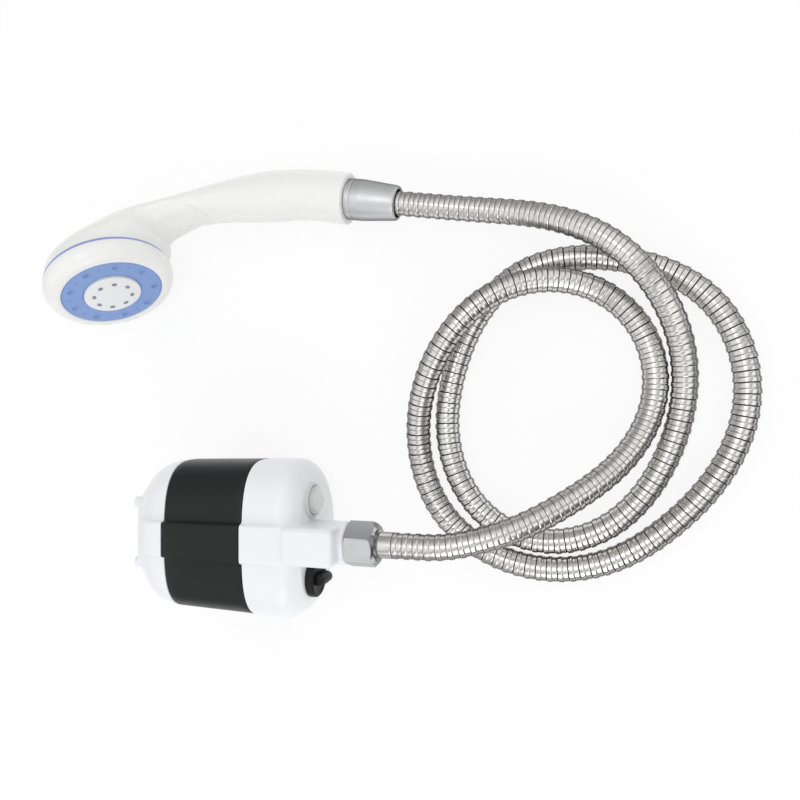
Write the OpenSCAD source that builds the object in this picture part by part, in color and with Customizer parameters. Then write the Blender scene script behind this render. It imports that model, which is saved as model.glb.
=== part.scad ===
// Camp shower pump: a rechargeable dip-in pump, a ribbed metal hose and a shower handset.
// The pump lies on its back with its feet towards -X and its outlet towards +X.
// The origin is on the table, under the middle of the pump's flat back.

/* [Pump housing] */
// Width of the housing at the middle of its length
body_w = 88; // [82:0.5:96]
// Height of the widest line above the table
rest_h = 37; // [34:0.5:40]
// Rise of the front skin above the widest line
front_h = 31; // [27:0.5:35]
// Depth of the back skin below the widest line, before the flat is cut
back_h = 38.5; // [38:0.25:42]
// Growth of the half width per mm towards the outlet
draft = 0.026; // [0:0.002:0.05]
// Housing wall
wall = 2.4; // [1.8:0.1:3]
// Where the dark band starts
band_x = -28; // [-32:0.5:-24]
// Length of the dark band
band_len = 49; // [44:0.5:56]
// Length of the foot-end cap
base_len = 24; // [20:0.5:30]
// Length of the outlet-end cap
top_len = 31.5; // [30:0.5:38]
// Length of the rounding at the outlet end
top_dome = 13; // [9:0.5:16]
// Width of the raised spine on the front
ridge_w = 21.5; // [16:0.5:26]
// Height of the raised spine
ridge_h = 3.2; // [1.5:0.1:5]
// Distance of the spine's end from the foot-end face
ridge_stop = 6; // [3:0.5:10]
// Thickness of the gaskets between the caps and the band
gasket_t = 0.8; // [0.5:0.1:1.2]

/* [Outlet] */
// Height of the outlet's axis above the widest line
outlet_up = 12; // [7:0.5:17]
// Length of the outlet block past the end face
block_out = 22.5; // [16:0.5:26]
// Depth of the outlet block, front to back
block_h = 34.5; // [30:0.5:38]
// Radius of the smooth neck
neck_r = 12; // [10.6:0.1:12.5]
// Length of the smooth neck
neck_len = 2.5; // [2:0.5:8]
// Radius of the outlet's thread
thread_r = 10.4; // [9:0.1:10.8]
// Length of the outlet's thread
thread_len = 10.5; // [8:0.5:14]
// Radius of the water bore
water_r = 5; // [3.5:0.25:6]

/* [Button and charge port] */
// Distance of the button and the port from the middle plane
port_y = 22; // [20:0.5:24]
// Height of the button and the port above the widest line
port_up = 6; // [2:0.5:7]
// Radius of the power button
button_r = 8.15; // [6:0.05:9]
// How far the button stands out of the end face
button_out = 6; // [4:0.25:8]
// Travel of the button
button_travel = 1; // [0.5:0.1:1.2]
// Radius of the charge port's plug at its head
plug_r = 9.75; // [8:0.25:10.5]
// Thickness of the plug's head
plug_t = 4.6; // [3:0.2:6]
// Radius of the charge port's pocket
pocket_r = 6.6; // [5.8:0.1:7.4]

/* [Intake] */
// Half width of the strainer plate
strainer_w = 22; // [19:0.5:24]
// Half height of the strainer plate
strainer_h = 17.5; // [16:0.5:18.5]
// Thickness of the strainer plate
strainer_t = 3; // [2:0.25:4]
// Height of the feet
foot_h = 3; // [2:0.25:5]
// Radius of the feet
foot_r = 3.2; // [2.4:0.1:4]
// Number of slots in the strainer
slot_count = 9; // [5:2:11]
// Radius of the intake opening
intake_r = 11; // [9:0.25:12]

/* [Pump works] */
// Outer radius of the pump chamber
volute_r = 19; // [17:0.25:20]
// Depth of the pump chamber's casing
volute_len = 17.4; // [15:0.2:17.6]
// Radius of the impeller
impeller_r = 14; // [10:0.25:14.5]
// Number of impeller blades
blade_count = 6; // [4:1:8]
// Radius of the motor
motor_r = 15; // [12:0.25:15]
// Length of the motor
motor_len = 40; // [32:0.5:50]
// Radius of the motor shaft
shaft_r = 1.5; // [1:0.1:2]
// Radius of a battery cell
cell_r = 9.2; // [7:0.1:9.4]
// Length of a battery cell
cell_len = 65; // [58:0.5:65]
// Distance of the cells from the middle plane
cell_y = 28; // [26:0.25:29]
// Radius of the riser pipe
riser_r = 4.5; // [3.5:0.1:4.7]
// Depth of the riser pipe's axis under the front skin
riser_deep = 8; // [7.6:0.2:10]

/* [Hose] */
// Outer diameter of the hose
hose_d = 14.5; // [12:0.25:14.5]
// Depth of the grooves between the ribs
rib_depth = 0.8; // [0.4:0.1:1.2]
// Distance from rib to rib
rib_pitch = 7.2; // [7:0.2:12]
// Radius of the hose bore
hose_bore = 4.6; // [3.5:0.1:5]
// Size of the hose nut across its flats
nut_af = 22.75; // [22.5:0.25:27]
// Length of the hose nut
nut_len = 17; // [15:0.5:20]
// Length of the nut's chamfer at its plain end
nut_chamfer = 1.2; // [0.4:0.1:2]
// Length of the nut's chamfer towards the hose
nut_taper = 2.6; // [1:0.1:3.5]
// Width of the nut's chamfer towards the hose, inside its flats
nut_lip = 1.1; // [0:0.1:2]
// Radius of the smooth hose ends
ferrule_r = 6.9; // [6:0.1:7.2]
// Length of the smooth hose end outside the hose nut
ferrule_out = 8.5; // [4:0.5:14]

/* [Handset] */
// Outer radius of the head
head_r = 39.25; // [36:0.25:44]
// Centre of the head along the handle, from the handle's end
head_x = -146; // [-155:1:-138]
// Centre of the head across the handle
head_y = -70; // [-76:0.5:-66]
// Tilt of the face towards the handle
head_tilt = 35.5; // [30:0.5:42]
// Radius of the handle at its end
handle_r = 15.25; // [14:0.25:17]
// Radius of the handle at the grip
grip_r = 13.75; // [12.5:0.25:15]
// Length of the cone nut
cone_len = 31; // [26:0.5:38]
// Radius of the cone nut at the handle
cone_r = 12.2; // [11.8:0.1:13.5]
// Radius of the cone nut at the hose
cone_tip_r = 10.2; // [9.4:0.1:11]
// Height of the face above the head's seam
face_h = 13.5; // [10:0.25:16]
// Radius of the spray ring
spray_r = 30; // [27:0.25:32]
// Radius of the centre plate
plate_r = 17; // [14:0.25:19]
// Number of nozzles in the spray ring
nozzle_count = 20; // [12:1:28]
// Number of slots in the centre plate
jet_count = 8; // [5:1:10]

/* [Clearances] */
// Gap between faces of pieces that slide or turn
slip = 0.2; // [0.1:0.05:0.3]
// Radial clearance of turning and sliding fits
fit = 0.08; // [0.02:0.01:0.1]

/* [Hidden] */
$fn = 48;

// Stations along the pump
band_end = band_x + band_len;
base_end = band_x - base_len;
top_end = band_end + top_len;
base_wall = base_end + wall;
top_wall = top_end - wall;
outlet_z = rest_h + outlet_up;
port_z = rest_h + port_up;
riser_z = rest_h + front_h - riser_deep;

// Shape of the housing's cross-section and of its rounded ends
front_power = 3;
back_power = 2.4;
dome_power = 2.2;
base_face = 0.62;
top_face = 0.72;
function dome(u) = pow(max(0, 1 - pow(u, dome_power)), 1 / dome_power);
function dome_at(share) = pow(1 - pow(share, dome_power), 1 / dome_power);
base_dome = base_len / dome_at(base_face);
top_dome_full = top_dome / dome_at(top_face);
top_dome_x = top_end - top_dome;
function shrink(x) = x < band_x ? dome((band_x - x) / base_dome)
    : x > top_dome_x ? dome((x - top_dome_x) / top_dome_full) : 1;
function half_w(x) = shrink(x) * (body_w / 2 + draft * x);
function front_at(x) = shrink(x) * front_h;
function back_at(x) = shrink(x) * back_h;
function ridge_half(x) = ridge_w / 2 + draft / 2 * x;
function arc_y(a, p, w) = a * pow(cos(w), 2 / p);
function arc_z(b, p, w) = b * pow(sin(w), 2 / p);
function skin(y, a, b, p) = b * pow(max(0, 1 - pow(y / a, p)), 1 / p);

// Half of a cross-section as [y, z], from the spine down to the flat back
front_steps = 10;
back_steps = 8;
spine_edge = 0.5;
function half_section(x, inset, rise) =
    let (a = half_w(x) - inset, b = front_at(x) - inset, c = back_at(x) - inset)
    let (r = ridge_half(x) - inset)
    let (low = min(asin(pow(min(1, (rest_h - inset) / c), back_power / 2)), 84))
    let (high = acos(pow(r / a, front_power / 2)) - 5)
    concat(
        [for (k = [0.3, 0.7]) [k * r, rest_h + skin(k * r, a, b, front_power) + rise]],
        [[r - spine_edge, rest_h + skin(r, a, b, front_power) + rise]],
        [[r, rest_h + skin(r, a, b, front_power)]],
        [for (k = [0:front_steps]) let (w = high * (1 - k / front_steps))
            [arc_y(a, front_power, w), rest_h + arc_z(b, front_power, w)]],
        [for (k = [1:back_steps]) let (w = low * k / back_steps)
            [arc_y(a, back_power, w), rest_h - arc_z(c, back_power, w)]]);
function mirrored(half) = [for (k = [len(half) - 1:-1:0]) [-half[k][0], half[k][1]]];
function section(x, inset = 0, rise = ridge_h) =
    let (half = half_section(x, inset, rise)) concat(half, mirrored(half));
function ring(x, inset = 0, rise = ridge_h) = [for (p = section(x, inset, rise)) [x, p[0], p[1]]];

// Faces between rings of n points, and a solid lofted through rings
function flat(lists) = [for (l = lists) for (p = l) p];
function skin_faces(rings, n, first = 0, turned = false) =
    [for (i = [0:rings - 2]) for (k = [0:n - 1])
        let (a = first + i * n + k, b = first + i * n + (k + 1) % n)
        each turned ? [[a, a + n, b], [b, a + n, b + n]] : [[a, b, a + n], [b, b + n, a + n]]];
function end_face(first, n, turned = false) =
    [for (k = [1:n - 2]) turned ? [first, first + k, first + k + 1] : [first, first + k + 1, first + k]];
function hub_face(first, n, hub, turned = false) = [for (k = [0:n - 1])
    let (a = first + k, b = first + (k + 1) % n) turned ? [hub, a, b] : [hub, b, a]];
module loft(rings) {
    n = len(rings[0]);
    last = (len(rings) - 1) * n;
    polyhedron(flat(rings), concat(skin_faces(len(rings), n), end_face(0, n), end_face(last, n, true)));
}
// A loft with a hollow: open at both ends, or with a closed far end
module hollow_loft(outer, inner, closed) {
    n = len(outer[0]);
    base = len(outer) * n;
    far = base - n;
    deep = base + (len(inner) - 1) * n;
    near_rim = [for (k = [0:n - 1]) let (m = (k + 1) % n)
        each [[k, base + k, m], [m, base + k, base + m]]];
    far_rim = [for (k = [0:n - 1]) let (m = (k + 1) % n)
        each [[far + k, far + m, deep + k], [far + m, deep + m, deep + k]]];
    hubs = [for (rings = [outer, inner]) [rings[len(rings) - 1][0][0], 0, rest_h]];
    ends = closed ? concat(hub_face(far, n, deep + n, true), hub_face(deep, n, deep + n + 1)) : far_rim;
    polyhedron(concat(flat(outer), flat(inner), closed ? hubs : []),
        concat(skin_faces(len(outer), n), skin_faces(len(inner), n, base, true), near_rim, ends));
}
// The same through rings that run towards -X
module hollow_loft_back(outer, inner) {
    mirror([1, 0, 0]) hollow_loft([for (r = outer) [for (p = r) [-p[0], p[1], p[2]]]],
        [for (r = inner) [for (p = r) [-p[0], p[1], p[2]]]], true);
}

// Round solids along X, and profiles pushed along X
over = 1;
module rod(x0, x1, r, y = 0, z = rest_h) {
    translate([x0, y, z]) rotate([0, 90, 0]) cylinder(r = r, h = x1 - x0);
}
module tube(x0, x1, r, bore, y = 0, z = rest_h) {
    difference() {
        rod(x0, x1, r, y, z);
        rod(x0 - over, x1 + over, bore, y, z);
    }
}
module push(x0, x1) {
    translate([x0, 0, 0]) rotate([90, 0, 90]) linear_extrude(x1 - x0) children();
}
module round_box(w, h, r) {
    square([w - 2 * r, h], center = true);
    square([w, h - 2 * r], center = true);
    for (sx = [-1, 1])
        for (sy = [-1, 1])
            translate([sx * (w / 2 - r), sy * (h / 2 - r)]) circle(r);
}
module turned(x, y = 0, z = 0) {
    translate([x, y, z]) rotate([0, 90, 0]) rotate_extrude() children();
}

// Housing
spine_end = base_end + ridge_stop;
spine_fade = 0.6;
module band_sleeve() {
    a = band_x + gasket_t / 2;
    b = band_end - gasket_t / 2;
    color("#333535") hollow_loft([ring(a), ring(b)], [ring(a, wall), ring(b, wall)], false);
}
base_steps = 6;
module base_cap() {
    start = band_x - gasket_t / 2;
    outer = concat(
        [for (k = [0:base_steps]) ring(start + (spine_end - start) * k / base_steps)],
        [for (k = [0:base_steps / 2])
            ring(spine_end - spine_fade + (base_end - spine_end + spine_fade) * k * 2 / base_steps, 0, 0)]);
    inner = concat(
        [for (k = [0:base_steps / 2]) ring(start + (spine_end - start) * k * 2 / base_steps, wall)],
        [for (x = [spine_end - spine_fade, base_wall]) ring(x, wall, 0)]);
    color("white") difference() {
        hollow_loft_back(outer, inner);
        rod(base_end - over, base_wall + over, intake_r);
        for (p = screw_places) {
            rod(base_end - over, base_wall + over, screw_r + fit, p[0], p[1]);
            rod(base_end - over, base_end + screw_head_t, screw_head_r + slip, p[0], p[1]);
        }
    }
}
top_steps = 6;
block_end = top_end + block_out;
block_inset = 0.8;
block_top = rest_h + front_h + ridge_h - block_inset / 2;
block_back = top_dome_x + 5.5;
block_w = ridge_w + draft * block_back - 2 * block_inset;
block_round = 3;
turn_x = top_end + 3;
riser_end = turn_x - water_r - 1;
neck_end = block_end + neck_len;
thread_end = neck_end + thread_len;
pocket_wall = 2;
pocket_back = top_wall - 3.2;
module top_cap() {
    start = band_end + gasket_t / 2;
    outer = concat([ring(start)], [for (k = [0:top_steps])
        let (share = k / top_steps) ring(top_dome_x + top_dome * share, 0, ridge_h * (1 - share))]);
    inner = concat([ring(start, wall)], [for (k = [0:top_steps / 2]) let (share = k * 2 / top_steps)
        ring(top_dome_x + (top_dome - wall) * share, wall, ridge_h * (1 - share))]);
    color("white") difference() {
        union() {
            hollow_loft(outer, inner, true);
            translate([0, 0, block_top - block_h / 2])
                push(block_back, block_end) round_box(block_w, block_h, block_round);
            rod(block_end - over, neck_end, neck_r, 0, outlet_z);
            rod(neck_end - over, thread_end, thread_r, 0, outlet_z);
            rod(pocket_back, top_wall + over, pocket_r + pocket_wall, -port_y, port_z);
        }
        rod(turn_x, thread_end + over, water_r, 0, outlet_z);
        translate([turn_x, 0, outlet_z]) cylinder(r = water_r - 0.5, h = riser_z - outlet_z);
        rod(block_back - over, riser_end, riser_r + fit, 0, riser_z);
        rod(riser_end - over, turn_x, riser_r - 1.2, 0, riser_z);
        rod(pocket_back - over, top_end + over, pocket_r, -port_y, port_z);
        rod(top_wall - over, top_end + over, button_r + fit, port_y, port_z);
    }
}
gasket_in = 0.6;
module gasket(x) {
    push(x - gasket_t / 2, x + gasket_t / 2) difference() {
        polygon(section(x, gasket_in));
        polygon(section(x, wall - 0.2));
    }
}
module base_gasket() {
    color("#202020") gasket(band_x);
}
module top_gasket() {
    color("#202020") gasket(band_end);
}

// Pump chamber behind the strainer
plate_t = 3;
bulkhead_x = band_x + gasket_t / 2;
motor_x = bulkhead_x + plate_t;
seal_r = 5;
seal_t = 2;
module bulkhead() {
    color("#d8dadc") difference() {
        push(bulkhead_x, motor_x) polygon(section(bulkhead_x, wall + slip));
        rod(bulkhead_x - over, bulkhead_x + seal_t, seal_r + fit);
        rod(bulkhead_x - over, motor_x + over, shaft_r + 0.7);
        rod(bulkhead_x - over, motor_x + over, riser_r + slip, 0, riser_z);
    }
}
module shaft_seal() {
    color("#1c1c1c") tube(bulkhead_x, bulkhead_x + seal_t, seal_r, shaft_r + fit);
}
chamber_wall = 3.5;
volute_x = bulkhead_x - volute_len;
inlet_r = 7.5;
ear_r = 3.2;
ear_turn = 45;
ear_ring = volute_r + 2;
screw_r = 1.25;
screw_head_r = 2.5;
screw_head_t = 1.4;
screw_len = 14;
screw_places = [for (q = [0:3]) let (w = ear_turn + 90 * q)
    [ear_ring * cos(w), rest_h + ear_ring * sin(w)]];
riser_start = volute_x + volute_len / 2;
tower_r = 5.6;
tower_top = riser_z + riser_r + 0.7;
module volute_casing() {
    tower_x = riser_start - 1;
    color("#c9ced2") difference() {
        union() {
            rod(volute_x, bulkhead_x, volute_r);
            rod(base_wall + slip, volute_x + over, inlet_r + 2.5);
            for (p = screw_places) rod(base_wall + slip, bulkhead_x, ear_r, p[0], p[1]);
            translate([tower_x, 0, rest_h]) cylinder(r = tower_r, h = tower_top - rest_h);
        }
        rod(volute_x + 2.5, bulkhead_x + over, volute_r - chamber_wall);
        rod(base_wall - over, volute_x + 3, inlet_r);
        for (p = screw_places) rod(base_wall, base_end + screw_len + over, screw_r + fit, p[0], p[1]);
        translate([tower_x, 0, rest_h + volute_r - chamber_wall - 1])
            cylinder(r = riser_r - 1.2, h = riser_z - rest_h - volute_r + chamber_wall + 1);
        rod(riser_start, bulkhead_x, riser_r + fit, 0, riser_z);
        rod(tower_x, riser_start + over, riser_r - 1.2, 0, riser_z);
    }
}
module case_screws() {
    color("silver") for (p = screw_places) {
        rod(base_end, base_end + screw_head_t, screw_head_r, p[0], p[1]);
        rod(base_end + screw_head_t / 2, base_end + screw_len, screw_r, p[0], p[1]);
    }
}
module riser_pipe() {
    color("#e6e6e2") tube(riser_start, riser_end, riser_r, riser_r - 1.2, 0, riser_z);
}

// Motor and impeller
bush_r = 3.5;
bush_len = 3;
can_t = 1.2;
motor_end = motor_x + motor_len;
module motor_can() {
    color("#b9bcc0") difference() {
        rod(motor_x, motor_end - bush_len, motor_r);
        rod(motor_x + bush_len, motor_end, motor_r - can_t);
        rod(motor_x - over, motor_end, bush_r + fit);
    }
}
module motor_end_cap() {
    color("#2b2b2e") tube(motor_end - bush_len, motor_end, motor_r, bush_r + fit);
}
module front_bush() {
    color("#b08d57") tube(motor_x, motor_x + bush_len, bush_r, shaft_r + fit);
}
module rear_bush() {
    color("#b08d57") tube(motor_end - bush_len, motor_end, bush_r, shaft_r + fit);
}
magnet_t = 2.2;
air_gap = 0.5;
magnet_in = motor_r - can_t - fit - magnet_t;
core_margin = 6;
module motor_magnets() {
    color("#4a4a4e") difference() {
        tube(motor_x + core_margin, motor_end - core_margin, motor_r - can_t - fit, magnet_in);
        translate([motor_x, -motor_r, rest_h - motor_r / 3]) cube([motor_len, 2 * motor_r, motor_r * 2 / 3]);
    }
}
hub_r = 4;
impeller_x = volute_x + 4;
impeller_end = bulkhead_x - 2;
module motor_shaft() {
    color("silver") rod(impeller_x + 1, motor_end + 1, shaft_r);
}
module armature() {
    x0 = motor_x + core_margin;
    x1 = motor_end - core_margin;
    color("#8c5a33") difference() {
        rod(x0, x1, magnet_in - air_gap);
        rod(x0 - over, x1 + over, shaft_r + fit / 4);
        for (q = [0:4]) translate([0, 0, rest_h]) rotate([72 * q, 0, 0])
            rod(x0 - over, x1 + over, 1.6, 0, magnet_in - air_gap);
    }
}
disc_t = 2;
blade_t = 1.4;
blade_bow = 9;
module impeller() {
    color("#2f6fb0") difference() {
        union() {
            rod(impeller_end - disc_t, impeller_end, impeller_r);
            rod(impeller_x, impeller_end, hub_r);
            for (q = [0:blade_count - 1]) translate([0, 0, rest_h]) rotate([360 / blade_count * q, 0, 0])
                intersection() {
                    tube(impeller_x, impeller_end - disc_t / 2, blade_bow + blade_t / 2,
                        blade_bow - blade_t / 2, blade_bow, 0);
                    translate([impeller_x, 0, 0])
                        cube([impeller_end - impeller_x, 2 * impeller_r, impeller_r]);
                    rod(impeller_x, impeller_end, impeller_r - fit, 0, 0);
                }
        }
        rod(impeller_x - over, impeller_end + over, shaft_r + fit / 4);
    }
}

// Battery pack and electronics
rail_t = 2.6;
rail_h = 26;
cradle_gap = 0.5;
rear_plate = 1.4;
front_plate = 1.2;
cell_x = motor_x + rear_plate;
cell_end = cell_x + cell_len;
board_x = cell_end + front_plate;
board_t = 1.6;
rail_y = cell_y - cell_r - 0.4;
module cradle_plate(x0, x1) {
    difference() {
        push(x0, x1) polygon(section(x1, wall + cradle_gap, 0));
        rod(x0 - over, x1 + over, motor_r + slip);
        push(x0 - over, x1 + over) translate([0, riser_z]) square([4 * riser_r, 4 * riser_r], center = true);
    }
}
module battery_cradle() {
    color("#303338") union() {
        cradle_plate(motor_x, cell_x);
        cradle_plate(cell_end, board_x);
        for (s = [-1, 1])
            translate([motor_x, s * (rail_y - rail_t / 2) - rail_t / 2, rest_h - rail_h / 2])
                cube([board_x - motor_x, rail_t, rail_h]);
    }
}
module battery_cells() {
    color("#3d8f5a") for (s = [-1, 1]) rod(cell_x, cell_end, cell_r, s * cell_y);
}
board_w = 66;
board_down = 19;
board_up = 16;
board_low = rest_h - board_down;
board_high = rest_h + board_up;
module circuit_board() {
    color("#1d6b3c") translate([board_x, -board_w / 2, board_low])
        cube([board_t, board_w, board_high - board_low]);
}
switch_x = board_x + board_t;
switch_w = 6;
button_flange = 1.8;
flange_x = top_wall - slip - button_flange;
switch_end = flange_x - button_travel - slip;
module switch_block() {
    color("#444444") union() {
        translate([switch_x, port_y - switch_w / 2, port_z - switch_w / 2])
            cube([switch_end - switch_x - 1, switch_w, switch_w]);
        rod(switch_end - 1.5, switch_end, 1.7, port_y, port_z);
    }
}
socket_w = 9;
socket_h = 3.3;
socket_t = 0.5;
socket_len = 7;
module charge_socket() {
    color("silver") difference() {
        translate([0, -port_y, port_z]) push(switch_x, switch_x + socket_len)
            round_box(socket_w, socket_h, socket_h / 2 - 0.01);
        translate([0, -port_y, port_z]) push(switch_x + 1, switch_x + socket_len + over)
            round_box(socket_w - 2 * socket_t, socket_h - 2 * socket_t, socket_h / 2 - socket_t - 0.01);
    }
}

// Button, plug and strainer
bezel_r = button_r + 2.1;
bezel_t = 1.6;
module button_bezel() {
    color("#eef0f0") turned(top_end, port_y, port_z) polygon([[button_r + fit, 0], [bezel_r, 0],
        [bezel_r, bezel_t - 0.6], [bezel_r - 0.6, bezel_t], [button_r + fit, bezel_t]]);
}
button_dome = 3.4;
button_edge = 5.2;
module power_button() {
    rise = top_end + button_out - flange_x;
    color("#d4d7d4") turned(flange_x, port_y, port_z) polygon(concat(
        [[0, 0], [button_r + 1.2, 0], [button_r + 1.2, button_flange], [button_r, button_flange]],
        [for (w = [0:10:90]) [button_r - button_edge * (1 - cos(w)), rise - button_dome * (1 - sin(w))]],
        [[0, rise]]));
}
plug_skirt = 1.2;
tab_w = 6;
tab_h = 13;
tab_out = 5.5;
module charge_plug() {
    skirt_r = pocket_r - fit;
    color("#1a1a1a") union() {
        turned(top_end + slip, -port_y, port_z) polygon([[0, 0], [plug_r, 0], [plug_r, plug_t - 1],
            [plug_r - 1, plug_t], [plug_r - 2.6, plug_t], [plug_r - 3, plug_t - 0.5], [0, plug_t - 0.5]]);
        tube(pocket_back + 0.8, top_end + 1, skirt_r, skirt_r - plug_skirt, -port_y, port_z);
        translate([top_end + plug_t - over, -port_y - tab_w / 2, port_z - tab_h / 2])
            cube([tab_out - tab_w / 2 + over, tab_w, tab_h]);
        translate([top_end + plug_t + tab_out - tab_w / 2, -port_y, port_z - tab_h / 2])
            cylinder(d = tab_w, h = tab_h);
    }
}
slot_w = 2;
skirt_t = 1.8;
plate_round = 6;
strainer_end = base_end - slip;
module intake_strainer() {
    pitch = 2 * (strainer_w - plate_round) / slot_count;
    color("#eceeee") union() {
        difference() {
            translate([0, 0, rest_h]) push(strainer_end - strainer_t, strainer_end)
                round_box(2 * strainer_w, 2 * strainer_h, plate_round);
            for (k = [0:slot_count - 1]) translate([0, (k - (slot_count - 1) / 2) * pitch, rest_h])
                push(strainer_end - strainer_t - over, strainer_end + over)
                    round_box(slot_w, 2 * strainer_h - 2 * plate_round, slot_w / 2 - 0.01);
        }
        difference() {
            tube(strainer_end - strainer_t / 2, base_wall, intake_r - fit, intake_r - fit - skirt_t);
            rod(strainer_end - strainer_t - over, strainer_end - strainer_t / 2, intake_r);
        }
        for (sy = [-1, 1])
            for (sz = [-1, 1])
                rod(strainer_end - strainer_t - foot_h, strainer_end - strainer_t + over / 2, foot_r,
                    sy * (strainer_w - foot_r - 0.8), rest_h + sz * (strainer_h - foot_r - 0.8));
    }
}

// Hose nut and the hose's ends
washer_t = 2;
flange_t = 2;
flange_r = 9.8;
nut_turn = 8;
nut_x = neck_end + slip;
seat_x = thread_end + washer_t;
ferrule_x = seat_x + flange_t;
nut_end = nut_x + nut_len;
hose_start = nut_end + ferrule_out;
module outlet_washer() {
    color("#262626") tube(thread_end, seat_x, flange_r, water_r, 0, outlet_z);
}
module hose_nut() {
    color("#c8cacc") difference() {
        translate([nut_x, 0, outlet_z]) rotate([0, 90, 0]) rotate([0, 0, nut_turn + 30])
            intersection() {
                cylinder(r = nut_af / sqrt(3), h = nut_len, $fn = 6);
                rotate_extrude() polygon([[0, 0], [nut_af / 2, 0], [nut_af / sqrt(3), nut_chamfer],
                    [nut_af / sqrt(3), nut_len - nut_taper], [nut_af / 2 - nut_lip, nut_len], [0, nut_len]]);
            }
        rod(nut_x - over, ferrule_x + slip, thread_r + fit, 0, outlet_z);
        rod(nut_x, nut_end + over, ferrule_r + 0.5, 0, outlet_z);
    }
}
module ferrule(x_flange, x_tube, x_end) {
    difference() {
        union() {
            rod(x_flange, x_tube, flange_r, 0, 0);
            rod(x_tube - over / 2, x_end, ferrule_r, 0, 0);
        }
        rod(x_flange - over, x_end + over, hose_bore, 0, 0);
    }
}
module pump_ferrule() {
    color("#bfc1c3") translate([0, 0, outlet_z]) ferrule(seat_x, ferrule_x, hose_start);
}

// Handset, drawn with its handle along X and its face towards -Y, then laid on its side
handset_at = [65, 200];
handset_turn = -9;
handset_rest = 0.1;
handle_gap = 0.1;
seam_r = head_r - 1.4;
trim_r = head_r - 1.25;
bulge_h = 4;
// It lies on its head's rim and on its handle, so the roll follows from their sizes
handle_low = handle_r + handle_gap;
head_arm = bulge_h * cos(head_tilt) - head_y;
rim_arm = head_r * cos(head_tilt);
arms = head_arm * head_arm + rim_arm * rim_arm;
roll_part = handle_low * head_arm;
roll_root = sqrt(roll_part * roll_part + arms * (head_r * head_r - handle_low * handle_low));
handset_roll = -asin((roll_root - roll_part) / arms);
handset_z = handset_rest + handle_low;
module at_handset() {
    translate([handset_at[0], handset_at[1], handset_z]) rotate([handset_roll, 0, handset_turn]) children();
}
module at_face() {
    at_handset() translate([head_x, head_y, 0]) rotate([90, 0, head_tilt]) children();
}
// Rows along the handset: outer edge, inner edge and half thickness across
function on_head(q, d) = [head_x, head_y]
    + seam_r * [q * cos(head_tilt) - d * sin(head_tilt), q * sin(head_tilt) + d * cos(head_tilt)];
body_rows = [
    [[0, handle_r], [0, -handle_r], handle_r],
    [[-16, handle_r + 0.6], [-12, 0.4 - handle_r], handle_r - 0.2],
    [[-35, grip_r + 1.2], [-29, -grip_r - 1.4], grip_r + 0.8],
    [[-54, grip_r - 1.2], [-46, -grip_r - 3.6], grip_r + 0.4],
    [[-72, grip_r - 6.6], [-63, -grip_r - 5.4], grip_r - 0.2],
    [[-90, grip_r - 13.8], [-79, -grip_r - 6.8], grip_r - 0.6],
    [[-106, grip_r - 21.8], [-92, -grip_r - 8.6], grip_r],
    [[-121, grip_r - 31], [-103, -grip_r - 12], grip_r + 3],
    [on_head(0.74, 0.84), on_head(1.17, 0.3), seam_r * 0.54],
    [on_head(0.38, 0.76), on_head(1.08, 0.15), seam_r * 0.7],
    [on_head(-0.08, 0.64), on_head(1.02, 0.07), seam_r * 0.82],
    [on_head(-0.52, 0.52), on_head(1.005, 0.03), seam_r * 0.9],
    [on_head(-0.89, 0.32), on_head(1, 0.012), seam_r * 0.95],
    [on_head(-1, 0), on_head(1, 0), seam_r]];
body_sides = 32;
row_steps = 2;
function pick(rows, i) = rows[max(0, min(len(rows) - 1, i))];
function smooth(a, b, c, d, t) = 0.5 * (2 * b + (c - a) * t + (2 * a - 5 * b + 4 * c - d) * t * t
    + (3 * b - a - 3 * c + d) * t * t * t);
function row_at(i, t) = [for (k = [0:2])
    smooth(pick(body_rows, i - 1)[k], pick(body_rows, i)[k], pick(body_rows, i + 1)[k],
        pick(body_rows, i + 2)[k], t)];
function body_ring(row) = let (mid = (row[0] + row[1]) / 2, arm = (row[0] - row[1]) / 2)
    [for (k = [0:body_sides - 1]) let (w = 360 * k / body_sides)
        [mid[0] + arm[0] * cos(w), mid[1] + arm[1] * cos(w), row[2] * sin(w)]];
spigot_x = 16;
pocket_depth = 8;
head_pocket = seam_r - 7;
backing_t = 1.8;
trim_t = 1.6;
module handset_body() {
    rings = concat(flat([for (i = [0:len(body_rows) - 2])
        [for (k = [0:row_steps - 1]) body_ring(row_at(i, k / row_steps))]]),
        [body_ring(body_rows[len(body_rows) - 1])]);
    color("white") difference() {
        union() {
            at_handset() loft(rings);
            at_handset() rod(-over, spigot_x, thread_r, 0, 0);
        }
        at_handset() rod(-60, spigot_x + over, water_r, 0, 0);
        at_face() difference() {
            translate([0, 0, -pocket_depth]) cylinder(r = head_pocket, h = pocket_depth + over);
            translate([0, 0, -pocket_depth - over]) cylinder(r = screw_r + 3, h = pocket_depth + over);
        }
        at_face() translate([0, 0, -pocket_depth - 4]) cylinder(r = screw_r + fit, h = pocket_depth + 6);
    }
}
module trim_ring() {
    color("#9aa4d8") at_face() difference() {
        cylinder(r = trim_r, h = trim_t);
        translate([0, 0, -over]) cylinder(r = seam_r - 3.2, h = trim_t + 2 * over);
    }
}
module face_seal() {
    color("#262626") at_face() difference() {
        cylinder(r = seam_r - 3.4, h = trim_t);
        translate([0, 0, -over]) cylinder(r = head_pocket - 1.6, h = trim_t + 2 * over);
    }
}
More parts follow.
